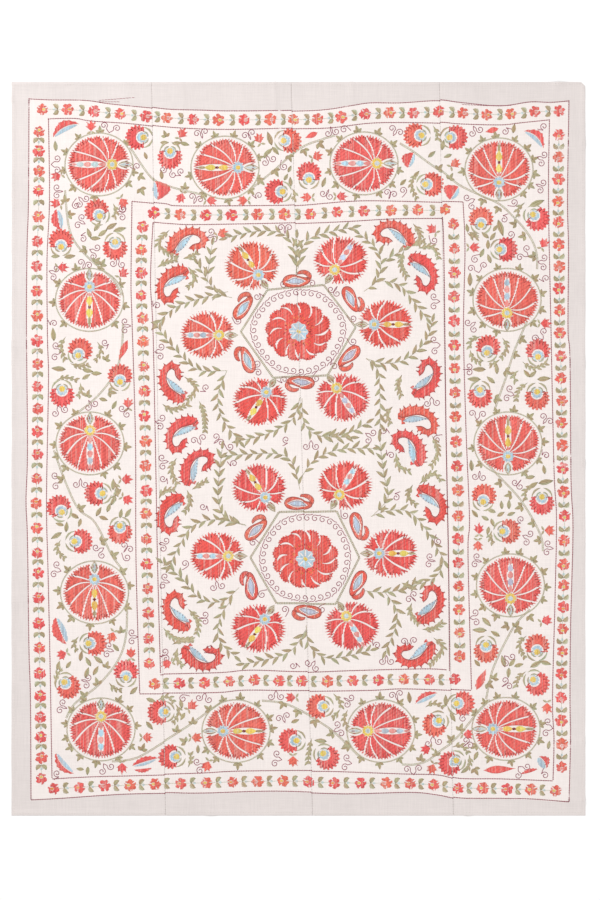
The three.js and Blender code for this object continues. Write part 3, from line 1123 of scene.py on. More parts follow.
# Red bows with a blue lining, each from start to end. The swings of their edges are to the left of that line.
HALF_MOONS = table(
    "start end outer middle inner",
    ((57, 208), (61, 230), -7.5, -0.5, 4.2), ((56, 616), (67, 644), -9, -1, 4.5),
    ((56, 751), (75, 773), -9, -4, 0.5), ((415, 704), (438, 693), 6.5, 2, -2),
    ((538, 757), (546, 770), 8, 2.5, -4), ((521, 775), (538, 770), 3, -1, -1),
    ((53, 138), (80, 124), 11, 4.5, 0), ((523, 132), (543, 150), 11, 5, 0.5),
    ((154, 181), (157, 201), 15, 2, -3), ((408, 168), (414, 152), 9.5, 0, -3.5),
    ((450, 201), (459, 187), 12, 0, -4), ((132, 766), (158, 758), 5.5, 0.5, -3),
    ((134, 769), (152, 767), -4, 0, 0), ((89, 209), (107, 206), 4.5, 0, 0),
)
# Directions, from each medallion's middle, of the leaves on its ring
RING_LEAVES = [
    (40, 88, 125, 158, 190, 225, 262, 325, 346), (18, 43, 76, 106, 137, 194, 233, 275, 316, 340),
    (35, 67, 100, 132, 160, 194, 220, 258, 295, 321, 348), (18, 39, 64, 95, 118, 147, 183, 313, 331, 352),
    (28, 72, 112, 150, 185, 225, 315, 350), (31, 60, 114, 148, 183, 203, 226, 293, 317, 354),
    (12, 39, 138, 177, 203, 231, 263, 300, 334), (7, 38, 60, 119, 145, 170, 195, 213, 234, 263, 300, 329),
    (4, 23, 53, 83, 111, 139, 215, 237, 273, 312, 339), (20, 58, 92, 122, 204, 236, 267, 301, 329, 353),
    (8, 41, 75, 104, 127, 151, 212, 242, 278, 308, 339), (11, 40, 70, 105, 140, 167, 199, 228, 253, 316, 343),
    (3, 26, 53, 81, 108, 143, 188, 219, 297, 329), (24, 50, 76, 98, 133, 165, 195, 221, 246, 334, 357),
]
# The vine that winds from medallion to medallion
VINES = [
    [(130, 147), (152, 178), (170, 187), (206, 196)],
    [(250, 190), (275, 170), (300, 148), (322, 139), (335, 135)],
    [(400, 143), (413, 151), (428, 162), (445, 174), (460, 186), (485, 198)],
    [(485, 198), (500, 205), (512, 216), (524, 229), (533, 243), (537, 257), (537, 270)],
    [(527, 322), (519, 340), (513, 355), (507, 375), (501, 392), (494, 412)],
    [(485, 462), (500, 478), (517, 496), (530, 515), (541, 537), (543, 552)],
    [(530, 610), (516, 624), (504, 645), (496, 662), (491, 676), (486, 700)],
    [(65, 190), (68, 222), (74, 240), (88, 257), (112, 278), (122, 295)],
    [(123, 323), (122, 345), (117, 368), (106, 386), (92, 401), (78, 412)],
    [(54, 450), (64, 478), (78, 508), (95, 522), (112, 555), (125, 572)],
    [(127, 600), (126, 635), (118, 660), (98, 685), (75, 703), (66, 718)],
    [(112, 761), (125, 760), (140, 756), (165, 741), (190, 725), (208, 712), (222, 702)],
    [(262, 701), (285, 704), (310, 716), (332, 730), (350, 747), (362, 759)],
    [(402, 764), (415, 764), (428, 760), (438, 752), (457, 738), (476, 715), (490, 700)],
]
# Three-lobed leaves along the vine: the middle of each, and the way that it points
VINE_LEAVES = table(
    "px py heading",
    (142, 177, 330), (142, 191, 300), (185, 186, 85), (165, 134, 110), (262, 183, 315), (276, 173, 300),
    (290, 159, 290), (321, 145, 320), (305, 152, 290), (440, 167, 50), (451, 177, 60), (482, 203, 250),
    (497, 211, 240), (513, 224, 170), (522, 237, 190), (532, 257, 180), (65, 198, 100), (72, 214, 10),
    (103, 262, 60), (83, 250, 200), (523, 341, 330), (517, 356, 340), (508, 373, 330), (498, 400, 340),
    (498, 484, 190), (508, 496, 190), (519, 508, 200), (531, 524, 190), (537, 541, 190), (517, 625, 60),
    (519, 632, 300), (531, 619, 310), (505, 627, 200), (495, 677, 60), (490, 686, 320), (60, 478, 150),
    (82, 507, 30), (104, 540, 20), (115, 554, 30), (121, 629, 100), (107, 664, 70), (97, 681, 110),
    (83, 694, 130), (143, 747, 70), (177, 729, 80), (193, 721, 90), (183, 741, 150), (282, 706, 240),
    (297, 714, 250), (315, 723, 280), (330, 734, 200), (345, 747, 200), (421, 757, 80), (436, 752, 100),
    (461, 728, 70), (450, 738, 130), (112, 392, 350), (88, 393, 70), (107, 357, 60), (476, 772, 300),
    (97, 260, 40),
)
# The leaves of the sprays between the crescent flowers, from base to tip
SPRAY_LEAVES = table(
    "px py heading length",
    (91, 238, 110, 10), (94, 231, 56, 11), (98, 236, 36, 11), (106, 229, 30, 12), (90, 238, 0, 10),
    (113, 231, 15, 13), (64, 257, 8, 11), (51, 256, 0, 8), (66, 369, 175, 14), (82, 369, -12, 11),
    (82, 379, 32, 9), (91, 373, 0, 10), (99, 398, -15, 8), (112, 409, 62, 9), (54, 341, 95, 13),
    (113, 490, 88, 11), (115, 496, 50, 9), (111, 505, 65, 9), (107, 512, 70, 9), (96, 516, 60, 10),
    (99, 516, -20, 9), (120, 518, 80, 9), (125, 517, 55, 10), (79, 518, 150, 10), (81, 518, 255, 8),
    (64, 525, 165, 8), (66, 532, 85, 10), (62, 532, 210, 12), (119, 651, 130, 9), (80, 661, 80, 10),
    (91, 666, 120, 10), (103, 663, 142, 11), (66, 668, 55, 8), (85, 678, 72, 11), (93, 675, 60, 10),
    (130, 694, 45, 10), (57, 670, 75, 9), (56, 151, 95, 10), (147, 159, 110, 7), (88, 766, 265, 8),
    (84, 769, 175, 7), (146, 698, 340, 10), (146, 721, 310, 10), (182, 709, 100, 9), (185, 713, 240, 8),
    (198, 754, 90, 8), (291, 723, 20, 8), (327, 741, 175, 12), (410, 703, 97, 11), (446, 706, 92, 11),
    (450, 713, 300, 10), (478, 752, 245, 9), (469, 768, 215, 9), (548, 750, 80, 8), (160, 143, 0, 8),
    (172, 144, 5, 9), (180, 143, -15, 9), (162, 180, 95, 9), (272, 146, 108, 14), (264, 159, 65, 9),
    (266, 155, 45, 8), (272, 147, -50, 10), (288, 173, 65, 7), (284, 181, 60, 7), (291, 187, 95, 9),
    (322, 187, 70, 10), (428, 157, 40, 9), (413, 178, 50, 9), (400, 185, 45, 8), (442, 151, 80, 10),
    (452, 155, 200, 8), (513, 134, 80, 9), (529, 207, 22, 16), (521, 197, 60, 7), (498, 220, 287, 17),
    (490, 241, 55, 9), (489, 239, 140, 9), (488, 250, 90, 9), (478, 237, 155, 9), (480, 258, 65, 9),
    (491, 264, 110, 9), (493, 232, 55, 7), (468, 233, 100, 8), (470, 287, 90, 13), (486, 370, 180, 13),
    (497, 375, 92, 10), (495, 384, 140, 10), (481, 380, 178, 13), (530, 378, 130, 9), (529, 378, 40, 9),
    (537, 380, 5, 13), (472, 472, 95, 11), (502, 510, 95, 8), (509, 510, 90, 9), (497, 517, 30, 8),
    (507, 516, 20, 8), (496, 513, 160, 9), (478, 518, 130, 9), (489, 521, 150, 8), (491, 519, 290, 8),
    (489, 527, 258, 8), (545, 475, 100, 9), (535, 477, 190, 9), (538, 484, 10, 15), (528, 489, 32, 11),
    (482, 618, 315, 12), (487, 631, 178, 14), (500, 637, 150, 10), (530, 668, 28, 13), (540, 662, 345, 11),
    (505, 668, 105, 12), (509, 667, 50, 9), (514, 667, 15, 9), (509, 668, 265, 10), (480, 667, 130, 8),
)
# Long bowed leaves round the crescent flowers
SEPALS = table(
    "start middle end",
    ((66, 336), (61, 346), (66, 361)), ((97, 341), (101, 350), (94, 362)),
    ((70, 363), (80, 366), (90, 364)), ((56, 380), (66, 377), (79, 381)), ((80, 382), (81, 390), (77, 397)),
    ((113, 203), (116, 210), (113, 218)), ((61, 539), (57, 549), (66, 559)),
    ((79, 636), (74, 643), (78, 652)), ((56, 684), (57, 675), (63, 667)),
    ((109, 682), (114, 688), (123, 690)), ((114, 480), (117, 489), (113, 499)),
    ((157, 701), (167, 697), (175, 704)), ((175, 704), (179, 712), (172, 725)),
    ((188, 768), (191, 760), (190, 752)), ((333, 693), (340, 701), (340, 709)),
    ((340, 709), (336, 714), (331, 718)), ((312, 738), (309, 752), (308, 766)),
    ((425, 707), (434, 703), (445, 708)), ((452, 748), (461, 746), (469, 755)),
    ((469, 755), (470, 763), (467, 770)), ((348, 709), (344, 719), (349, 729)),
    ((292, 188), (295, 194), (292, 201)), ((433, 125), (437, 133), (437, 141)),
    ((418, 172), (411, 184), (418, 200)), ((525, 203), (518, 210), (519, 219)),
    ((481, 337), (471, 341), (470, 350)), ((470, 350), (473, 359), (482, 364)),
    ((502, 338), (507, 348), (500, 360)), ((500, 360), (494, 364), (488, 366)),
    ((522, 362), (533, 369), (548, 363)), ((519, 371), (513, 376), (517, 383)),
    ((528, 383), (519, 391), (516, 403)), ((534, 485), (525, 492), (526, 502)),
    ((527, 636), (519, 645), (526, 660)), ((526, 672), (518, 679), (516, 689)),
    ((492, 531), (490, 538), (494, 545)), ((467, 233), (472, 237), (480, 238)),
)
# Stitches that stray outside the outer line
STRAY_STITCHES = [
    [(99, 100), (118, 98.5), (135, 97)], [(99, 101.4), (120, 101.4)], [(462, 105), (485, 106.3), (512, 106)],
]
# Stems of the middle field, from root to tip
LEAFY_STEMS = table(
    "paired path",
    (False, [(297, 272), (293, 246), (280, 233), (255, 232), (228, 238)]),
    (False, [(298, 268), (304, 244), (320, 234), (352, 227)]),
    (True, [(296, 276), (297, 255), (297, 238)]),
    (False, [(232, 298), (218, 294), (207, 280), (198, 265)]),
    (True, [(207, 284), (209, 265), (212, 246)]),
    (False, [(228, 292), (200, 299), (175, 308), (158, 323)]),
    (False, [(364, 291), (377, 280), (381, 262), (376, 248), (360, 234)]),
    (False, [(380, 280), (400, 285), (413, 300), (426, 317)]),
    (False, [(381, 264), (392, 256), (403, 250)]),
    (False, [(226, 371), (198, 370), (175, 350), (158, 328)]),
    (False, [(227, 371), (218, 395), (222, 418), (239, 441)]),
    (False, [(300, 398), (292, 420), (268, 434), (241, 441)]),
    (False, [(302, 398), (304, 422), (318, 435), (350, 437)]),
    (False, [(318, 436), (345, 434), (366, 423)]),
    (False, [(366, 358), (385, 363), (405, 359), (425, 342), (432, 322)]),
    (False, [(366, 358), (378, 370), (380, 400), (380, 428)]),
    (False, [(300, 490), (292, 463), (275, 454), (228, 456)]),
    (False, [(302, 476), (315, 459), (340, 449), (372, 448)]),
    (True, [(246, 526), (225, 518), (218, 495), (222, 450)]),
    (False, [(245, 525), (215, 520), (192, 527), (180, 545), (170, 565)]),
    (False, [(239, 588), (222, 602), (200, 599), (182, 579), (163, 563)]),
    (False, [(230, 602), (220, 618), (219, 640), (234, 656)]),
    (False, [(306, 630), (290, 652), (262, 661), (245, 664)]),
    (False, [(306, 626), (310, 646), (330, 658), (370, 650)]),
    (False, [(385, 592), (396, 608), (396, 625), (386, 650)]),
    (False, [(362, 590), (385, 592), (405, 588), (416, 583)]),
    (False, [(371, 516), (390, 510), (410, 512), (428, 532), (444, 560)]),
    (False, [(444, 560), (435, 577), (408, 587)]),
    (True, [(372, 516), (388, 497), (384, 475), (380, 442)]),
)
FEATHERED_LEAVES = table(
    "start middle end",
    ((170, 230), (158, 245), (178, 259)), ((183, 259), (191, 257), (199, 252)),
    ((157, 268), (166, 263), (179, 260)), ((188, 267), (195, 279), (186, 289)),
    ((184, 377), (196, 388), (186, 402)), ((162, 404), (172, 410), (190, 404)),
    ((199, 401), (204, 415), (205, 434)), ((177, 458), (171, 470), (178, 486)),
    ((192, 490), (202, 484), (209, 480)), ((159, 499), (164, 492), (176, 490)),
    ((187, 490), (190, 503), (183, 514)), ((188, 609), (198, 622), (196, 636)),
    ((163, 628), (175, 639), (194, 639)), ((178, 648), (176, 658), (184, 668)),
    ((172, 645), (182, 641), (195, 641)), ((413, 223), (420, 234), (417, 246)),
    ((411, 246), (420, 242), (426, 241)), ((418, 248), (433, 247), (439, 260)),
    ((404, 250), (401, 264), (408, 278)), ((402, 374), (398, 385), (402, 397)),
    ((393, 406), (387, 413), (391, 425)), ((432, 435), (438, 452), (430, 467)),
    ((396, 452), (399, 466), (412, 471)), ((419, 484), (433, 473), (442, 482)),
    ((413, 484), (408, 496), (418, 506)), ((412, 602), (410, 612), (420, 625)),
    ((422, 629), (434, 628), (444, 621)), ((433, 637), (443, 648), (428, 666)),
)
CURLS = [
    [(104, 125), (117, 128)], [(57, 158), (57, 170)], [(57, 187), (57, 195)], [(79, 204), (86, 198)],
    [(123, 209)], [(137, 166)], [(197, 134), (205, 132)], [(245, 136), (252, 133)],
    [(163, 170), (173, 175), (181, 172)], [(192, 197), (200, 200)], [(259, 196)], [(265, 163), (273, 159)],
    [(284, 167)], [(328, 133), (336, 131), (344, 129)], [(392, 128), (400, 132)], [(323, 193), (330, 196)],
    [(387, 192), (394, 194), (403, 190)], [(472, 134), (480, 130)], [(505, 132)], [(544, 127)],
    [(544, 155), (541, 164)], [(543, 183), (540, 191)], [(467, 198), (472, 207)], [(514, 203)],
    [(76, 205)], [(123, 208), (122, 217)], [(82, 217), (78, 225)], [(83, 238.5)], [(97, 247), (93, 256)],
    [(56, 268), (53, 277)], [(81, 262), (89, 265)], [(113, 263), (122, 264)], [(54, 323)],
    [(125, 321), (125, 330)], [(56, 345), (55, 357)], [(105, 342)], [(95, 403), (88, 407)],
    [(55, 413), (65, 409)], [(122, 408), (127, 414)], [(55, 475), (56, 486)], [(76, 484), (85, 484)],
    [(96, 547), (102, 555)], [(124, 545), (130, 549), (127, 557)], [(57, 564), (54, 574)],
    [(132, 632), (132, 641)], [(109, 645), (107, 654)], [(88, 677), (86, 685)], [(63, 702), (60, 710)],
    [(111, 766), (102, 771)], [(57, 773)], [(183, 699)], [(199, 698), (209, 700)], [(197, 762), (200, 771)],
    [(271, 697), (281, 697)], [(277, 754), (275, 764)], [(287, 716), (279, 719)], [(351, 697), (347, 704)],
    [(337, 724), (341, 733)], [(347, 757), (345, 767)], [(392, 695), (400, 693)], [(407, 769), (419, 768)],
    [(428, 743), (439, 741)], [(463, 719)], [(466, 741), (470, 746)], [(509, 687), (505, 681)],
    [(548, 722), (546, 734)], [(527, 767), (518, 776)], [(545, 776)], [(504, 220)], [(511, 235)],
    [(527, 249), (520, 258)], [(475, 260)], [(471, 269), (484, 266)], [(544, 258), (543, 268), (546, 279)],
    [(468, 323), (474, 330)], [(544, 332), (535, 339)], [(469, 367), (469, 373)], [(510, 389), (507, 399)],
    [(472, 414), (483, 415)], [(543, 417), (550, 422)], [(546, 456)], [(475, 477), (483, 478)],
    [(515, 483), (520, 487)], [(521, 520)], [(530, 534), (526, 543)], [(548, 544), (547, 553)],
    [(477, 557), (475, 565)], [(475, 613), (476, 623)], [(512, 657), (505, 664)], [(289, 228), (281, 228)],
    [(211, 232), (214, 240)], [(157, 306)], [(161, 347), (160, 357)], [(284, 285)], [(238, 321)],
    [(312, 283)], [(331, 289), (337, 293)], [(353, 318)], [(434, 240)], [(434, 296), (434, 306)],
    [(257, 297)], [(434, 339), (435, 351)], [(353, 341)], [(257, 364), (258, 373)], [(284, 380)],
    [(316, 378)], [(334, 366)], [(206, 388)], [(162, 418), (160, 427)], [(427, 403), (437, 402)],
    [(194, 441), (203, 438), (216, 437), (221, 443), (230, 447)], [(286, 440)], [(306, 446), (316, 446)],
    [(368, 440), (373, 432), (383, 430)], [(391, 455)], [(162, 458), (163, 467), (163, 479)], [(234, 464)],
    [(203, 507)], [(166, 541), (163, 549)], [(345, 515)], [(253, 543)], [(185, 564)],
    [(165, 577), (163, 586)], [(438, 541)], [(430, 556), (429, 564)], [(437, 439)], [(396, 497)],
    [(262, 595)], [(205, 615), (205, 622)], [(213, 588), (222, 586)], [(165, 652), (166, 659)], [(210, 649)],
    [(308, 663), (316, 668)], [(382, 661), (391, 661)], [(404, 641), (414, 640)], [(414, 594), (409, 599)],
    [(377, 645)], [(322, 609)], [(285, 610)], [(293, 666)],
]


def halfway_between(one, other):
    """A function that gives the place halfway between two frame lines, on one side and so far along it."""
    def across(line, side, along):
        points = getattr(line, side)
        if side in ("top", "bottom"):
            return np.interp(along, [px for px, py in points], [py for px, py in points])
        return np.interp(along, [py for px, py in points], [px for px, py in points])

    def halfway(side, along):
        middle = float(across(one, side, along) + across(other, side, along)) / 2
        return at(along, middle) if side in ("top", "bottom") else at(middle, along)

    return halfway


def sew_frames():
    for line in (OUTER_LINE, SECOND_LINE, THIRD_LINE, INNER_LINE):
        for side in line:
            chain(lines, smooth(places(side)), LINE_CRIMSON)
    for path in STRAY_STITCHES:
        stem(lines, places(path), LINE_CRIMSON, 0.9, pitch=3.0)
    flower_rows(OUTER_ROWS, halfway_between(OUTER_LINE, SECOND_LINE))
    flower_rows(INNER_ROWS, halfway_between(THIRD_LINE, INNER_LINE))


def sew_border():
    for row, leaf_angles in zip(MEDALLIONS, RING_LEAVES):
        place = place_of(row)
        dye = leaning_red(RED, 0.35)
        fan_flower(place, MEDALLION, row.axis, row.hub, row.flame, dye)
        ring_of_leaves(place, leaf_angles)
    for vine in VINES:
        winding_vine(places(vine))
    for row in VINE_LEAVES:
        trefoil(toward(place_of(row), row.heading + 180, 3.4), row.heading, rng.uniform(7.2, 8.6))
    for row in SPRAY_LEAVES:
        tone = mixed(OLIVE, BROWN_OLIVE, rng.uniform(0, 1))
        leaf(place_of(row), row.heading, row.length + 1, 2.1 + 0.24 * row.length, tone)
    for row in SEPALS:
        feathered_leaf(*places(row), 1.1)
    for row in CRESCENTS:
        crescent_flower(place_of(row), row.opens)
    for row in BUDS:
        bud_flower(place_of(row), row.heading)
    for row in LONG_BUDS:
        outline = lens(at(*row.start), at(*row.end), row.half_width, widest=0.6)
        fill(red, outline, RED, tip_dye=mixed(RED, MAROON, 0.5))
    for row in HALF_MOONS:
        half_moon(at(*row.start), at(*row.end), row.outer, row.middle, row.inner)


def sew_middle():
    for row in ROSETTES:
        rosette(place_of(row), row.turn)
    for corners, row in zip(HEXAGONS, ROSETTES):
        outline = places(corners)
        for start, end in zip(outline, outline[1:] + outline[:1]):
            for side in (-0.55, 0.55):
                edge = [offset_point([start, end], 0, side), offset_point([start, end], 1, side)]
                chain(green, edge, OLIVE, width=1.5)
        running_spirals(place_of(row), outline)
    for row in CARNATIONS:
        dye = leaning_red(MIDDLE_RED, 0.5)
        fan_flower(place_of(row), CARNATION, row.axis, row.hub, row.flame, dye)
    for row in PAISLEYS:
        paisley(place_of(row), row.heading, row.hand)
    for row in SMALL_PAISLEYS:
        small_paisley(place_of(row), row.heading)
    for row in LEAFY_STEMS:
        leafy_stem(places(row.path), row.paired)
    for row in FEATHERED_LEAVES:
        feathered_leaf(*places(row), 1.7)


def sew_curls():
    for chain_of_curls in CURLS:
        curls(places(chain_of_curls))


# Seam and hem stitches, in millimetres
SEAM_STITCH_PITCH = 8.0
SEAM_STITCH_REACH = 2.2
SEAM_STITCH_RISE = 1.0
SEAM_STITCH_CLEARANCE = 6
HEM_STITCH_PITCH = 9.0
HEM_STITCH_SHARE = 0.55
HEM_STITCH_INSET = HEM_WIDTH - 1.2
HEM_CORNER_CUT = 6


def in_steps(x, y):
    return x / STEP, y / STEP


def sew_seams():
    """Slanting stitches across each seam."""
    end = HALF_LENGTH - SEAM_STITCH_CLEARANCE
    for seam in SEAMS:
        for y in np.arange(-end, end, SEAM_STITCH_PITCH):
            y += rng.uniform(-1, 1)
            x = seam_x(seam, y)
            slant = [(x + SEAM_STITCH_REACH * side, y + SEAM_STITCH_RISE * side) for side in (-1, 0, 1)]
            short_stitch(sewing, [in_steps(*point) for point in slant], 0.16, 0.55, varied(SEWING))


def sew_hem():
    """A running stitch that holds the hem, and cuts across the blunt corner."""
    right = HALF_WIDTH - HEM_STITCH_INSET
    top = HALF_LENGTH - HEM_STITCH_INSET
    corners = [(-right, -top), (right, -top), (right, top - HEM_CORNER_CUT), (right - HEM_CORNER_CUT, top),
               (-right, top), (-right, -top)]
    for start, end in zip(corners, corners[1:]):
        marks = even_points([start, end], HEM_STITCH_PITCH)
        for a, b in zip(marks, marks[1:]):
            first = in_steps(*a)
            last = in_steps(*between(a, b, HEM_STITCH_SHARE))
            short_stitch(sewing, [first, midpoint(first, last), last], 0.17, 0.5, varied(SEWING))


# The ground cloth

def soft_fall(distance):
    inside = np.minimum(np.abs(distance), 1.0)
    return (1 - inside ** 2) ** 2


def crease_lift(crease, x, y):
    length = math.hypot(crease.run, crease.rise)
    along_x = crease.run / length
    along_y = crease.rise / length
    along = (x - crease.x) * along_x + (y - crease.y) * along_y
    across = (y - crease.y) * along_x - (x - crease.x) * along_y
    return crease.height * soft_fall(across / crease.half_width) * soft_fall(np.maximum(along, 0) / length)


def lift(x, y):
    """How far the cloth is off the surface below it."""
    height = np.zeros_like(x)
    for crease in CREASES:
        height = np.maximum(height, crease_lift(crease, x, y))
    for swell in SWELLS:
        distance = np.hypot((x - swell.x) / swell.reach_x, (y - swell.y) / swell.reach_y)
        height = np.maximum(height, swell.height * soft_fall(distance))
    return height


def thickness(from_edge):
    down = np.clip((from_edge - HEM_WIDTH) / HEM_SLOPE_WIDTH, 0, 1)
    return HEM_THICKNESS + (CLOTH_THICKNESS - HEM_THICKNESS) * down


def edge_wave(place):
    turn = 2 * np.pi * place / EDGE_WAVE_LENGTH
    return EDGE_WAVE_HEIGHT * (0.5 + 0.25 * np.sin(turn) + 0.25 * np.sin(2.3 * turn + 1))


def from_outer_edge(x, y):
    return np.minimum(HALF_WIDTH - np.abs(x), HALF_LENGTH - np.abs(y))


def blunt_corner(x, y):
    over = np.maximum(x + y - (HALF_WIDTH + HALF_LENGTH - BLUNT_CORNER_CUT), 0)
    return x - over / 2, y - over / 2


def spaced(low, high, near_low, near_high, spacing):
    """Places from low to high: set distances from each end, and even spacing between those."""
    start = low + near_low[-1]
    end = high - near_high[-1]
    middle = np.linspace(start, end, max(2, round((end - start) / spacing) + 1))
    first = [low + distance for distance in near_low[:-1]]
    last = [high - distance for distance in near_high[-2::-1]]
    return np.array(first + middle.tolist() + last)


HEM_PLACES = [0, 0.7, 2.2, 6, 10, 12.5]
SEAM_PLACES = [0, 1.2, 3.5]
CLOTH_SPACING = 15
EDGE_ROUND = 1.6
SEAM_DIP = 0.5
SEAM_DIP_REACH = 4.0
# Columns across a crease, as shares of its half width
CREASE_SHARES = np.array([-1, -0.8, -0.55, -0.25, 0, 0.25, 0.55, 0.8, 1])


def left_side(index, y):
    """Where the left edge or seam of a panel is at a height y."""
    if index == 0:
        return -HALF_WIDTH + edge_wave(y)
    return seam_x(SEAMS[index - 1], y) + SEAM_GAP / 2


def right_side(index, y):
    if index == len(SEAMS):
        return HALF_WIDTH - edge_wave(y + EDGE_WAVE_LENGTH / 2)
    return seam_x(SEAMS[index], y) - SEAM_GAP / 2


def crease_columns(index):
    """The columns with which a panel's sheet follows the creases that run up it."""
    found = []
    for crease in CREASES:
        start = -HALF_WIDTH if index == 0 else seam_x(SEAMS[index - 1], crease.y)
        middle = crease.x + crease.run / 2 - start
        if abs(crease.rise) > 3 * abs(crease.run) and 0 < middle < LOOM_WIDTH:
            found.extend(middle + crease.half_width * CREASE_SHARES)
    return np.array(found)


def panel_columns(index):
    """Places across a panel, as distances from the left on a loom width."""
    near_left = HEM_PLACES if index == 0 else SEAM_PLACES
    near_right = HEM_PLACES if index == len(SEAMS) else SEAM_PLACES
    plain = spaced(0, LOOM_WIDTH, near_left, near_right, CLOTH_SPACING)
    return np.union1d(plain, crease_columns(index))


def edge_loop(grid):
    """The outer entries of a grid, once round and back to the first."""
    return np.concatenate([grid[0, :], grid[1:, -1], grid[-1, -2::-1], grid[-2::-1, 0]])


def sheet_faces(count_y, count_x):
    """The faces of a closed sheet: its top, its underside and the band round its edge."""
    count = count_x * count_y
    grid = np.arange(count).reshape(count_y, count_x)
    a, b, c, d = grid[:-1, :-1], grid[:-1, 1:], grid[1:, 1:], grid[1:, :-1]
    upper = np.stack([a, b, c, d], -1).reshape(-1, 4)
    lower = np.stack([a, d, c, b], -1).reshape(-1, 4) + count
    around = edge_loop(grid)
    below = around + count
    band = np.stack([below[:-1], below[1:], around[1:], around[:-1]], -1)
    return np.concatenate([upper, lower, band]).tolist()


def cloth_mesh(index):
    """One panel: a closed sheet with rounded edges, as thick and as creased as its solid."""
    first = index == 0
    last = index == len(SEAMS)
    rows = spaced(-HALF_LENGTH, HALF_LENGTH, HEM_PLACES, HEM_PLACES, CLOTH_SPACING)
    column, y = np.meshgrid(panel_columns(index), rows)
    from_right = LOOM_WIDTH - column
    left = left_side(index, y)
    right = right_side(index, y)
    # The slant of the seams is taken up between the hems, which keep their width.
    near = HEM_PLACES[-1]
    share = (column - near) / (LOOM_WIDTH - 2 * near)
    x = left + near + share * (right - left - 2 * near)
    x = np.where(column < near, left + column, x)
    x = np.where(column > LOOM_WIDTH - near, right - from_right, x)
    edge = HALF_LENGTH - np.abs(y)
    edge = np.minimum(edge, column if first else np.inf)
    edge = np.minimum(edge, from_right if last else np.inf)
    seam = np.minimum(np.inf if first else column, np.inf if last else from_right)
    x, y = blunt_corner(x, y)
    thick = thickness(edge)
    rounding = 1 - np.sqrt(np.clip(1 - (1 - np.clip(edge / EDGE_ROUND, 0, 1)) ** 2, 0, 1))
    dip = SEAM_DIP * (1 - np.clip(seam / SEAM_DIP_REACH, 0, 1)) ** 2
    raised = lift(x, y)
    top = raised + thick * (1 - 0.42 * rounding) - dip
    bottom = raised + thick * 0.3 * rounding
    points = np.concatenate([np.stack([x, y, z], -1).reshape(-1, 3) for z in (top, bottom)])
    return points, sheet_faces(*x.shape)


def distance_inside(x, y, line):
    """How far each point is inside a frame line, in millimetres, and below zero outside it."""
    loop = np.array(places(line.top + line.right[1:] + line.bottom[-2::-1] + line.left[-2:0:-1])) * STEP
    nearest = np.full(x.shape, np.inf)
    inside = np.zeros(x.shape, dtype=bool)
    for (ax, ay), (bx, by) in zip(loop, np.roll(loop, -1, axis=0)):
        run = np.array([bx - ax, by - ay])
        share = np.clip(((x - ax) * run[0] + (y - ay) * run[1]) / (run @ run), 0, 1)
        nearest = np.minimum(nearest, np.hypot(x - ax - share * run[0], y - ay - share * run[1]))
        crosses = (ay <= y) != (by <= y)
        with np.errstate(divide="ignore", invalid="ignore"):
            inside ^= crosses & (x < ax + (y - ay) * run[0] / run[1])
    return np.where(inside, nearest, -nearest)


# From numbers to objects

MM = 0.001


def new_object(name, points, faces, material):
    """An object from points in millimetres, shaded smooth."""
    mesh = bpy.data.meshes.new(name)
    mesh.from_pydata((points * MM).tolist(), [], faces)
    mesh.materials.append(material)
    mesh.polygons.foreach_set("use_smooth", [True] * len(mesh.polygons))
    mesh.update()
    piece = bpy.data.objects.new(name, mesh)
    bpy.context.scene.collection.objects.link(piece)
    return piece


def give_attribute(piece, name, kind, field, values):
    """A value for each point of a piece, which its material reads by name."""
    attribute = piece.data.attributes.new(name, kind, "POINT")
    attribute.data.foreach_set(field, values)


def lay_out_uv(piece, two_sided):
    """A flat layout of the piece for baking. What faces down goes beside the rest, or into a corner."""
    mesh = piece.data
    points = np.empty(len(mesh.vertices) * 3)
    mesh.vertices.foreach_get("co", points)
    points = points.reshape(-1, 3)[:, :2]
    low = points.min(axis=0)
    share = (points - low) / (points.max(axis=0) - low)
    normals = np.empty(len(mesh.polygons) * 3)
    mesh.polygons.foreach_get("normal", normals)
    totals = np.empty(len(mesh.polygons), dtype=int)
    mesh.polygons.foreach_get("loop_total", totals)
    down = np.repeat(normals.reshape(-1, 3)[:, 2] < -0.2, totals)
    corners = np.empty(len(mesh.loops), dtype=int)
    mesh.loops.foreach_get("vertex_index", corners)
    uv = share[corners]
    if two_sided:
        uv = uv * (0.49, 0.99) + (0.005, 0.005)
        uv[down] += (0.5, 0)
    else:
        uv = uv * (0.97, 0.99) + (0.005, 0.005)
        uv[down] = uv[down] * (0.01, 0.01) + (0.985, 0.0)
    layer = mesh.uv_layers.new(name="OFBake")
    layer.data.foreach_set("uv", uv.ravel())


def thread_piece(name, bundle, slot, material):
    points = np.array(bundle.points)
    x = points[:, 0] * STEP
    y = points[:, 1] * STEP
    z = lift(x, y) + thickness(from_outer_edge(x, y)) + points[:, 2]
    piece = new_object(name, np.stack([x, y, z], -1), bundle.faces, material)
    dyes = np.ones((len(points), 4))
    dyes[:, :3] = bundle.dyes
    give_attribute(piece, "dye", "FLOAT_COLOR", "color", dyes.ravel())
    lay_out_uv(piece, two_sided=False)
    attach(piece, "root")
    return piece


def cloth_piece(index, material):
    points, faces = cloth_mesh(index)
    piece = new_object("cloth_" + PANELS[index], points, faces, material)
    inside = np.clip(distance_inside(points[:, 0], points[:, 1], OUTER_LINE), -30, 30)
    give_attribute(piece, "inside_line", "FLOAT", "value", inside)
    lay_out_uv(piece, two_sided=True)
    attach(piece, "root")
    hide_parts(PANELS[index])
    return piece


# Materials

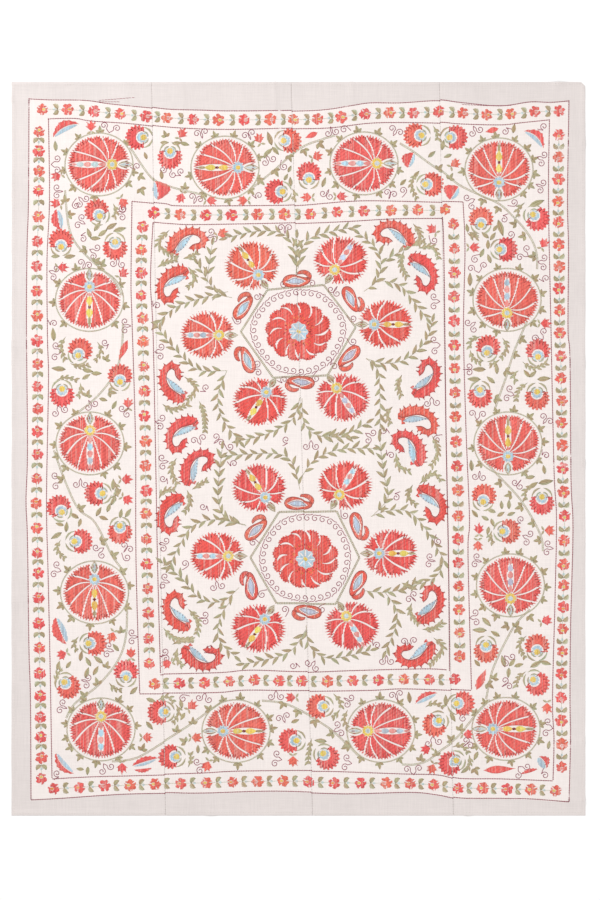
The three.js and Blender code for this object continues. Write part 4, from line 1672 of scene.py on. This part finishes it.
def new_material(name, roughness, sheen, specular):
    material = bpy.data.materials.new(name)
    material.use_nodes = True
    shader = material.node_tree.nodes["Principled BSDF"]
    shader.inputs["Roughness"].default_value = roughness
    shader.inputs["Sheen Weight"].default_value = sheen
    shader.inputs["Sheen Roughness"].default_value = 0.4
    shader.inputs["Specular IOR Level"].default_value = specular
    return material, shader


class Nodes:
    """Short ways to add and join a material's nodes."""

    def __init__(self, material):
        self.tree = material.node_tree
        self.place = self.add("ShaderNodeTexCoord").outputs["Object"]

    def add(self, kind, **settings):
        node = self.tree.nodes.new(kind)
        for name, value in settings.items():
            setattr(node, name, value)
        return node

    def feed(self, socket, value):
        if isinstance(value, bpy.types.NodeSocket):
            self.tree.links.new(value, socket)
        else:
            socket.default_value = value

    def noise(self, scale, stretch=(1, 1, 1)):
        mapping = self.add("ShaderNodeMapping")
        self.feed(mapping.inputs["Vector"], self.place)
        mapping.inputs["Scale"].default_value = stretch
        noise = self.add("ShaderNodeTexNoise")
        self.feed(noise.inputs["Vector"], mapping.outputs["Vector"])
        noise.inputs["Scale"].default_value = scale
        noise.inputs["Detail"].default_value = 3.0
        return noise.outputs["Fac"]

    def waves(self, scale, degrees):
        mapping = self.add("ShaderNodeMapping")
        self.feed(mapping.inputs["Vector"], self.place)
        mapping.inputs["Rotation"].default_value[2] = math.radians(degrees)
        wave = self.add("ShaderNodeTexWave")
        self.feed(wave.inputs["Vector"], mapping.outputs["Vector"])
        wave.inputs["Scale"].default_value = scale
        wave.inputs["Distortion"].default_value = 0.6
        wave.inputs["Detail Scale"].default_value = 3.0
        return wave.outputs["Fac"]

    def ranged(self, value, low, high, to_low, to_high):
        node = self.add("ShaderNodeMapRange")
        self.feed(node.inputs["Value"], value)
        for name, number in zip(("From Min", "From Max", "To Min", "To Max"), (low, high, to_low, to_high)):
            node.inputs[name].default_value = number
        return node.outputs["Result"]

    def math(self, operation, a, b):
        node = self.add("ShaderNodeMath", operation=operation)
        self.feed(node.inputs[0], a)
        self.feed(node.inputs[1], b)
        return node.outputs["Value"]

    def mix(self, share, a, b, blend="MIX"):
        node = self.add("ShaderNodeMix", data_type="RGBA", blend_type=blend)
        self.feed(node.inputs[0], share)
        self.feed(node.inputs[6], a)
        self.feed(node.inputs[7], b)
        return node.outputs[2]

    def grey(self, value):
        node = self.add("ShaderNodeCombineColor")
        for name in ("Red", "Green", "Blue"):
            self.feed(node.inputs[name], value)
        return node.outputs["Color"]

    def attribute(self, name):
        return self.add("ShaderNodeAttribute", attribute_name=name)

    def bump(self, height, strength, distance):
        node = self.add("ShaderNodeBump")
        self.feed(node.inputs["Height"], height)
        node.inputs["Strength"].default_value = strength
        node.inputs["Distance"].default_value = distance
        return node.outputs["Normal"]


THREAD_TWIST = 95
THREAD_STREAKS = (900, 120, 120)
THREAD_FIBRES = (1800, 260, 260)
GRAIN_DEPTH = 0.0004


def thread_material(name, roughness, sheen):
    """Dyed thread: the stitch's own dye, streaked and faded, with a fine twist."""
    material, shader = new_material(name, roughness, sheen, 0.2)
    nodes = Nodes(material)
    dye = nodes.attribute("dye").outputs["Color"]
    streak = nodes.ranged(nodes.noise(1.0, THREAD_STREAKS), 0.3, 0.7, 0.86, 1.12)
    fade = nodes.ranged(nodes.noise(9.0), 0.3, 0.7, 0.93, 1.07)
    tone = nodes.math("MULTIPLY", streak, fade)
    colour = nodes.mix(1.0, dye, nodes.grey(tone), blend="MULTIPLY")
    nodes.feed(shader.inputs["Base Color"], colour)
    fibres = nodes.noise(1.0, THREAD_FIBRES)
    twist = nodes.waves(THREAD_TWIST, 32)
    height = nodes.math("ADD", fibres, nodes.math("MULTIPLY", twist, 0.5))
    nodes.feed(shader.inputs["Normal"], nodes.bump(height, 0.5, GRAIN_DEPTH))
    rough = nodes.ranged(fibres, 0.3, 0.7, roughness - 0.06, roughness + 0.08)
    nodes.feed(shader.inputs["Roughness"], rough)
    return material


INSIDE_GROUND = (0.852, 0.782, 0.755, 1)
MARGIN_GROUND = (0.728, 0.668, 0.65, 1)
SLUBS_ACROSS = (14, 420, 60)
SLUBS_UPWARD = (420, 14, 60)
WEAVE_SCALE = 260


def cotton_material():
    """Plain-woven cotton: slubs both ways, a fine weave, and a greyer margin outside the outer line."""
    material, shader = new_material("ground_cotton", 0.9, 0.1, 0.2)
    nodes = Nodes(material)
    inside = nodes.attribute("inside_line").outputs["Fac"]
    share = nodes.ranged(inside, -2.0, 1.5, 0.0, 1.0)
    ground = nodes.mix(share, MARGIN_GROUND, INSIDE_GROUND)
    across = nodes.ranged(nodes.noise(1.0, SLUBS_ACROSS), 0.35, 0.65, 0.965, 1.02)
    upward = nodes.ranged(nodes.noise(1.0, SLUBS_UPWARD), 0.35, 0.65, 0.965, 1.02)
    blotch = nodes.ranged(nodes.noise(7.0), 0.3, 0.7, 0.975, 1.015)
    tone = nodes.math("MULTIPLY", nodes.math("MULTIPLY", across, upward), blotch)
    nodes.feed(shader.inputs["Base Color"], nodes.mix(1.0, ground, nodes.grey(tone), blend="MULTIPLY"))
    warp = nodes.waves(WEAVE_SCALE, 0)
    weft = nodes.waves(WEAVE_SCALE, 90)
    weave = nodes.math("ADD", nodes.math("MULTIPLY", warp, weft), nodes.noise(1.0, (50, 900, 300)))
    nodes.feed(shader.inputs["Normal"], nodes.bump(weave, 0.35, GRAIN_DEPTH))
    rough = nodes.ranged(nodes.noise(900.0), 0.3, 0.7, 0.84, 0.95)
    nodes.feed(shader.inputs["Roughness"], rough)
    return material


def floor_material():
    material, shader = new_material("pale_floor", 0.8, 0.0, 0.1)
    nodes = Nodes(material)
    speck = nodes.ranged(nodes.noise(3.0), 0.3, 0.7, 0.955, 0.975)
    nodes.feed(shader.inputs["Base Color"], nodes.grey(speck))
    return material


# The studio

FLOOR_SIZE = 30.0
LIGHTS = table(
    "name place size power",
    ("key_light", (-3.0, 2.5, 4.5), 3.0, 185.0), ("fill_light", (3.2, -2.0, 5.0), 4.0, 107.0),
)
WORLD_COLOUR = (1.0, 0.99, 0.98, 1)
WORLD_STRENGTH = 0.605
CAMERA_LENS = 100.0
CAMERA_SENSOR = 36.0
VIEW_HEIGHT = 900 * STEP * MM
VIEW_MIDDLE = at(300, 450)


def add_floor():
    mesh = bpy.data.meshes.new("floor")
    half = FLOOR_SIZE / 2
    corners = [(-half, -half, 0), (half, -half, 0), (half, half, 0), (-half, half, 0)]
    mesh.from_pydata(corners, [], [(0, 1, 2, 3)])
    mesh.materials.append(floor_material())
    floor = bpy.data.objects.new("floor", mesh)
    bpy.context.scene.collection.objects.link(floor)


def add_light(name, place, size, power):
    light = bpy.data.lights.new(name, "AREA")
    light.shape = "SQUARE"
    light.size = size
    light.energy = power
    lamp = bpy.data.objects.new(name, light)
    lamp.location = place
    lamp.rotation_euler = (-lamp.location).to_track_quat("-Z", "Y").to_euler()
    bpy.context.scene.collection.objects.link(lamp)


def add_camera():
    """Straight above the cloth, at the height that puts one pixel of the photo on each step."""
    camera = bpy.data.cameras.new("camera")
    camera.sensor_fit = "VERTICAL"
    camera.sensor_height = CAMERA_SENSOR
    camera.lens = CAMERA_LENS
    camera.clip_end = 100.0
    eye = bpy.data.objects.new("camera", camera)
    distance = VIEW_HEIGHT * CAMERA_LENS / CAMERA_SENSOR
    eye.location = (VIEW_MIDDLE[0] * STEP * MM, VIEW_MIDDLE[1] * STEP * MM, distance + CLOTH_THICKNESS * MM)
    bpy.context.scene.collection.objects.link(eye)
    bpy.context.scene.camera = eye


def add_studio():
    add_floor()
    for light in LIGHTS:
        add_light(*light)
    world = bpy.data.worlds.new("studio")
    world.use_nodes = True
    background = world.node_tree.nodes["Background"]
    background.inputs["Color"].default_value = WORLD_COLOUR
    background.inputs["Strength"].default_value = WORLD_STRENGTH
    bpy.context.scene.world = world
    bpy.context.scene.view_settings.view_transform = "Standard"
    add_camera()


# How each thread takes the light
THREAD_LOOKS = table(
    "skein roughness sheen",
    (red, 0.55, 0.06), (green, 0.55, 0.08), (blue, 0.55, 0.08), (yellow, 0.55, 0.08), (lines, 0.6, 0.05),
    (sewing, 0.8, 0.05),
)


def build():
    sew_frames()
    sew_border()
    sew_middle()
    sew_curls()
    sew_seams()
    sew_hem()

    cotton = cotton_material()
    cloths = [cloth_piece(index, cotton) for index in range(len(PANELS))]
    stitched = [[] for _ in PANELS]
    for skein, roughness, sheen in THREAD_LOOKS:
        material = thread_material(skein.name, roughness, sheen)
        for name, index, bundle in skein.pieces():
            stitched[index].append(thread_piece(name, bundle, skein.slot, material))


build()
add_studio()
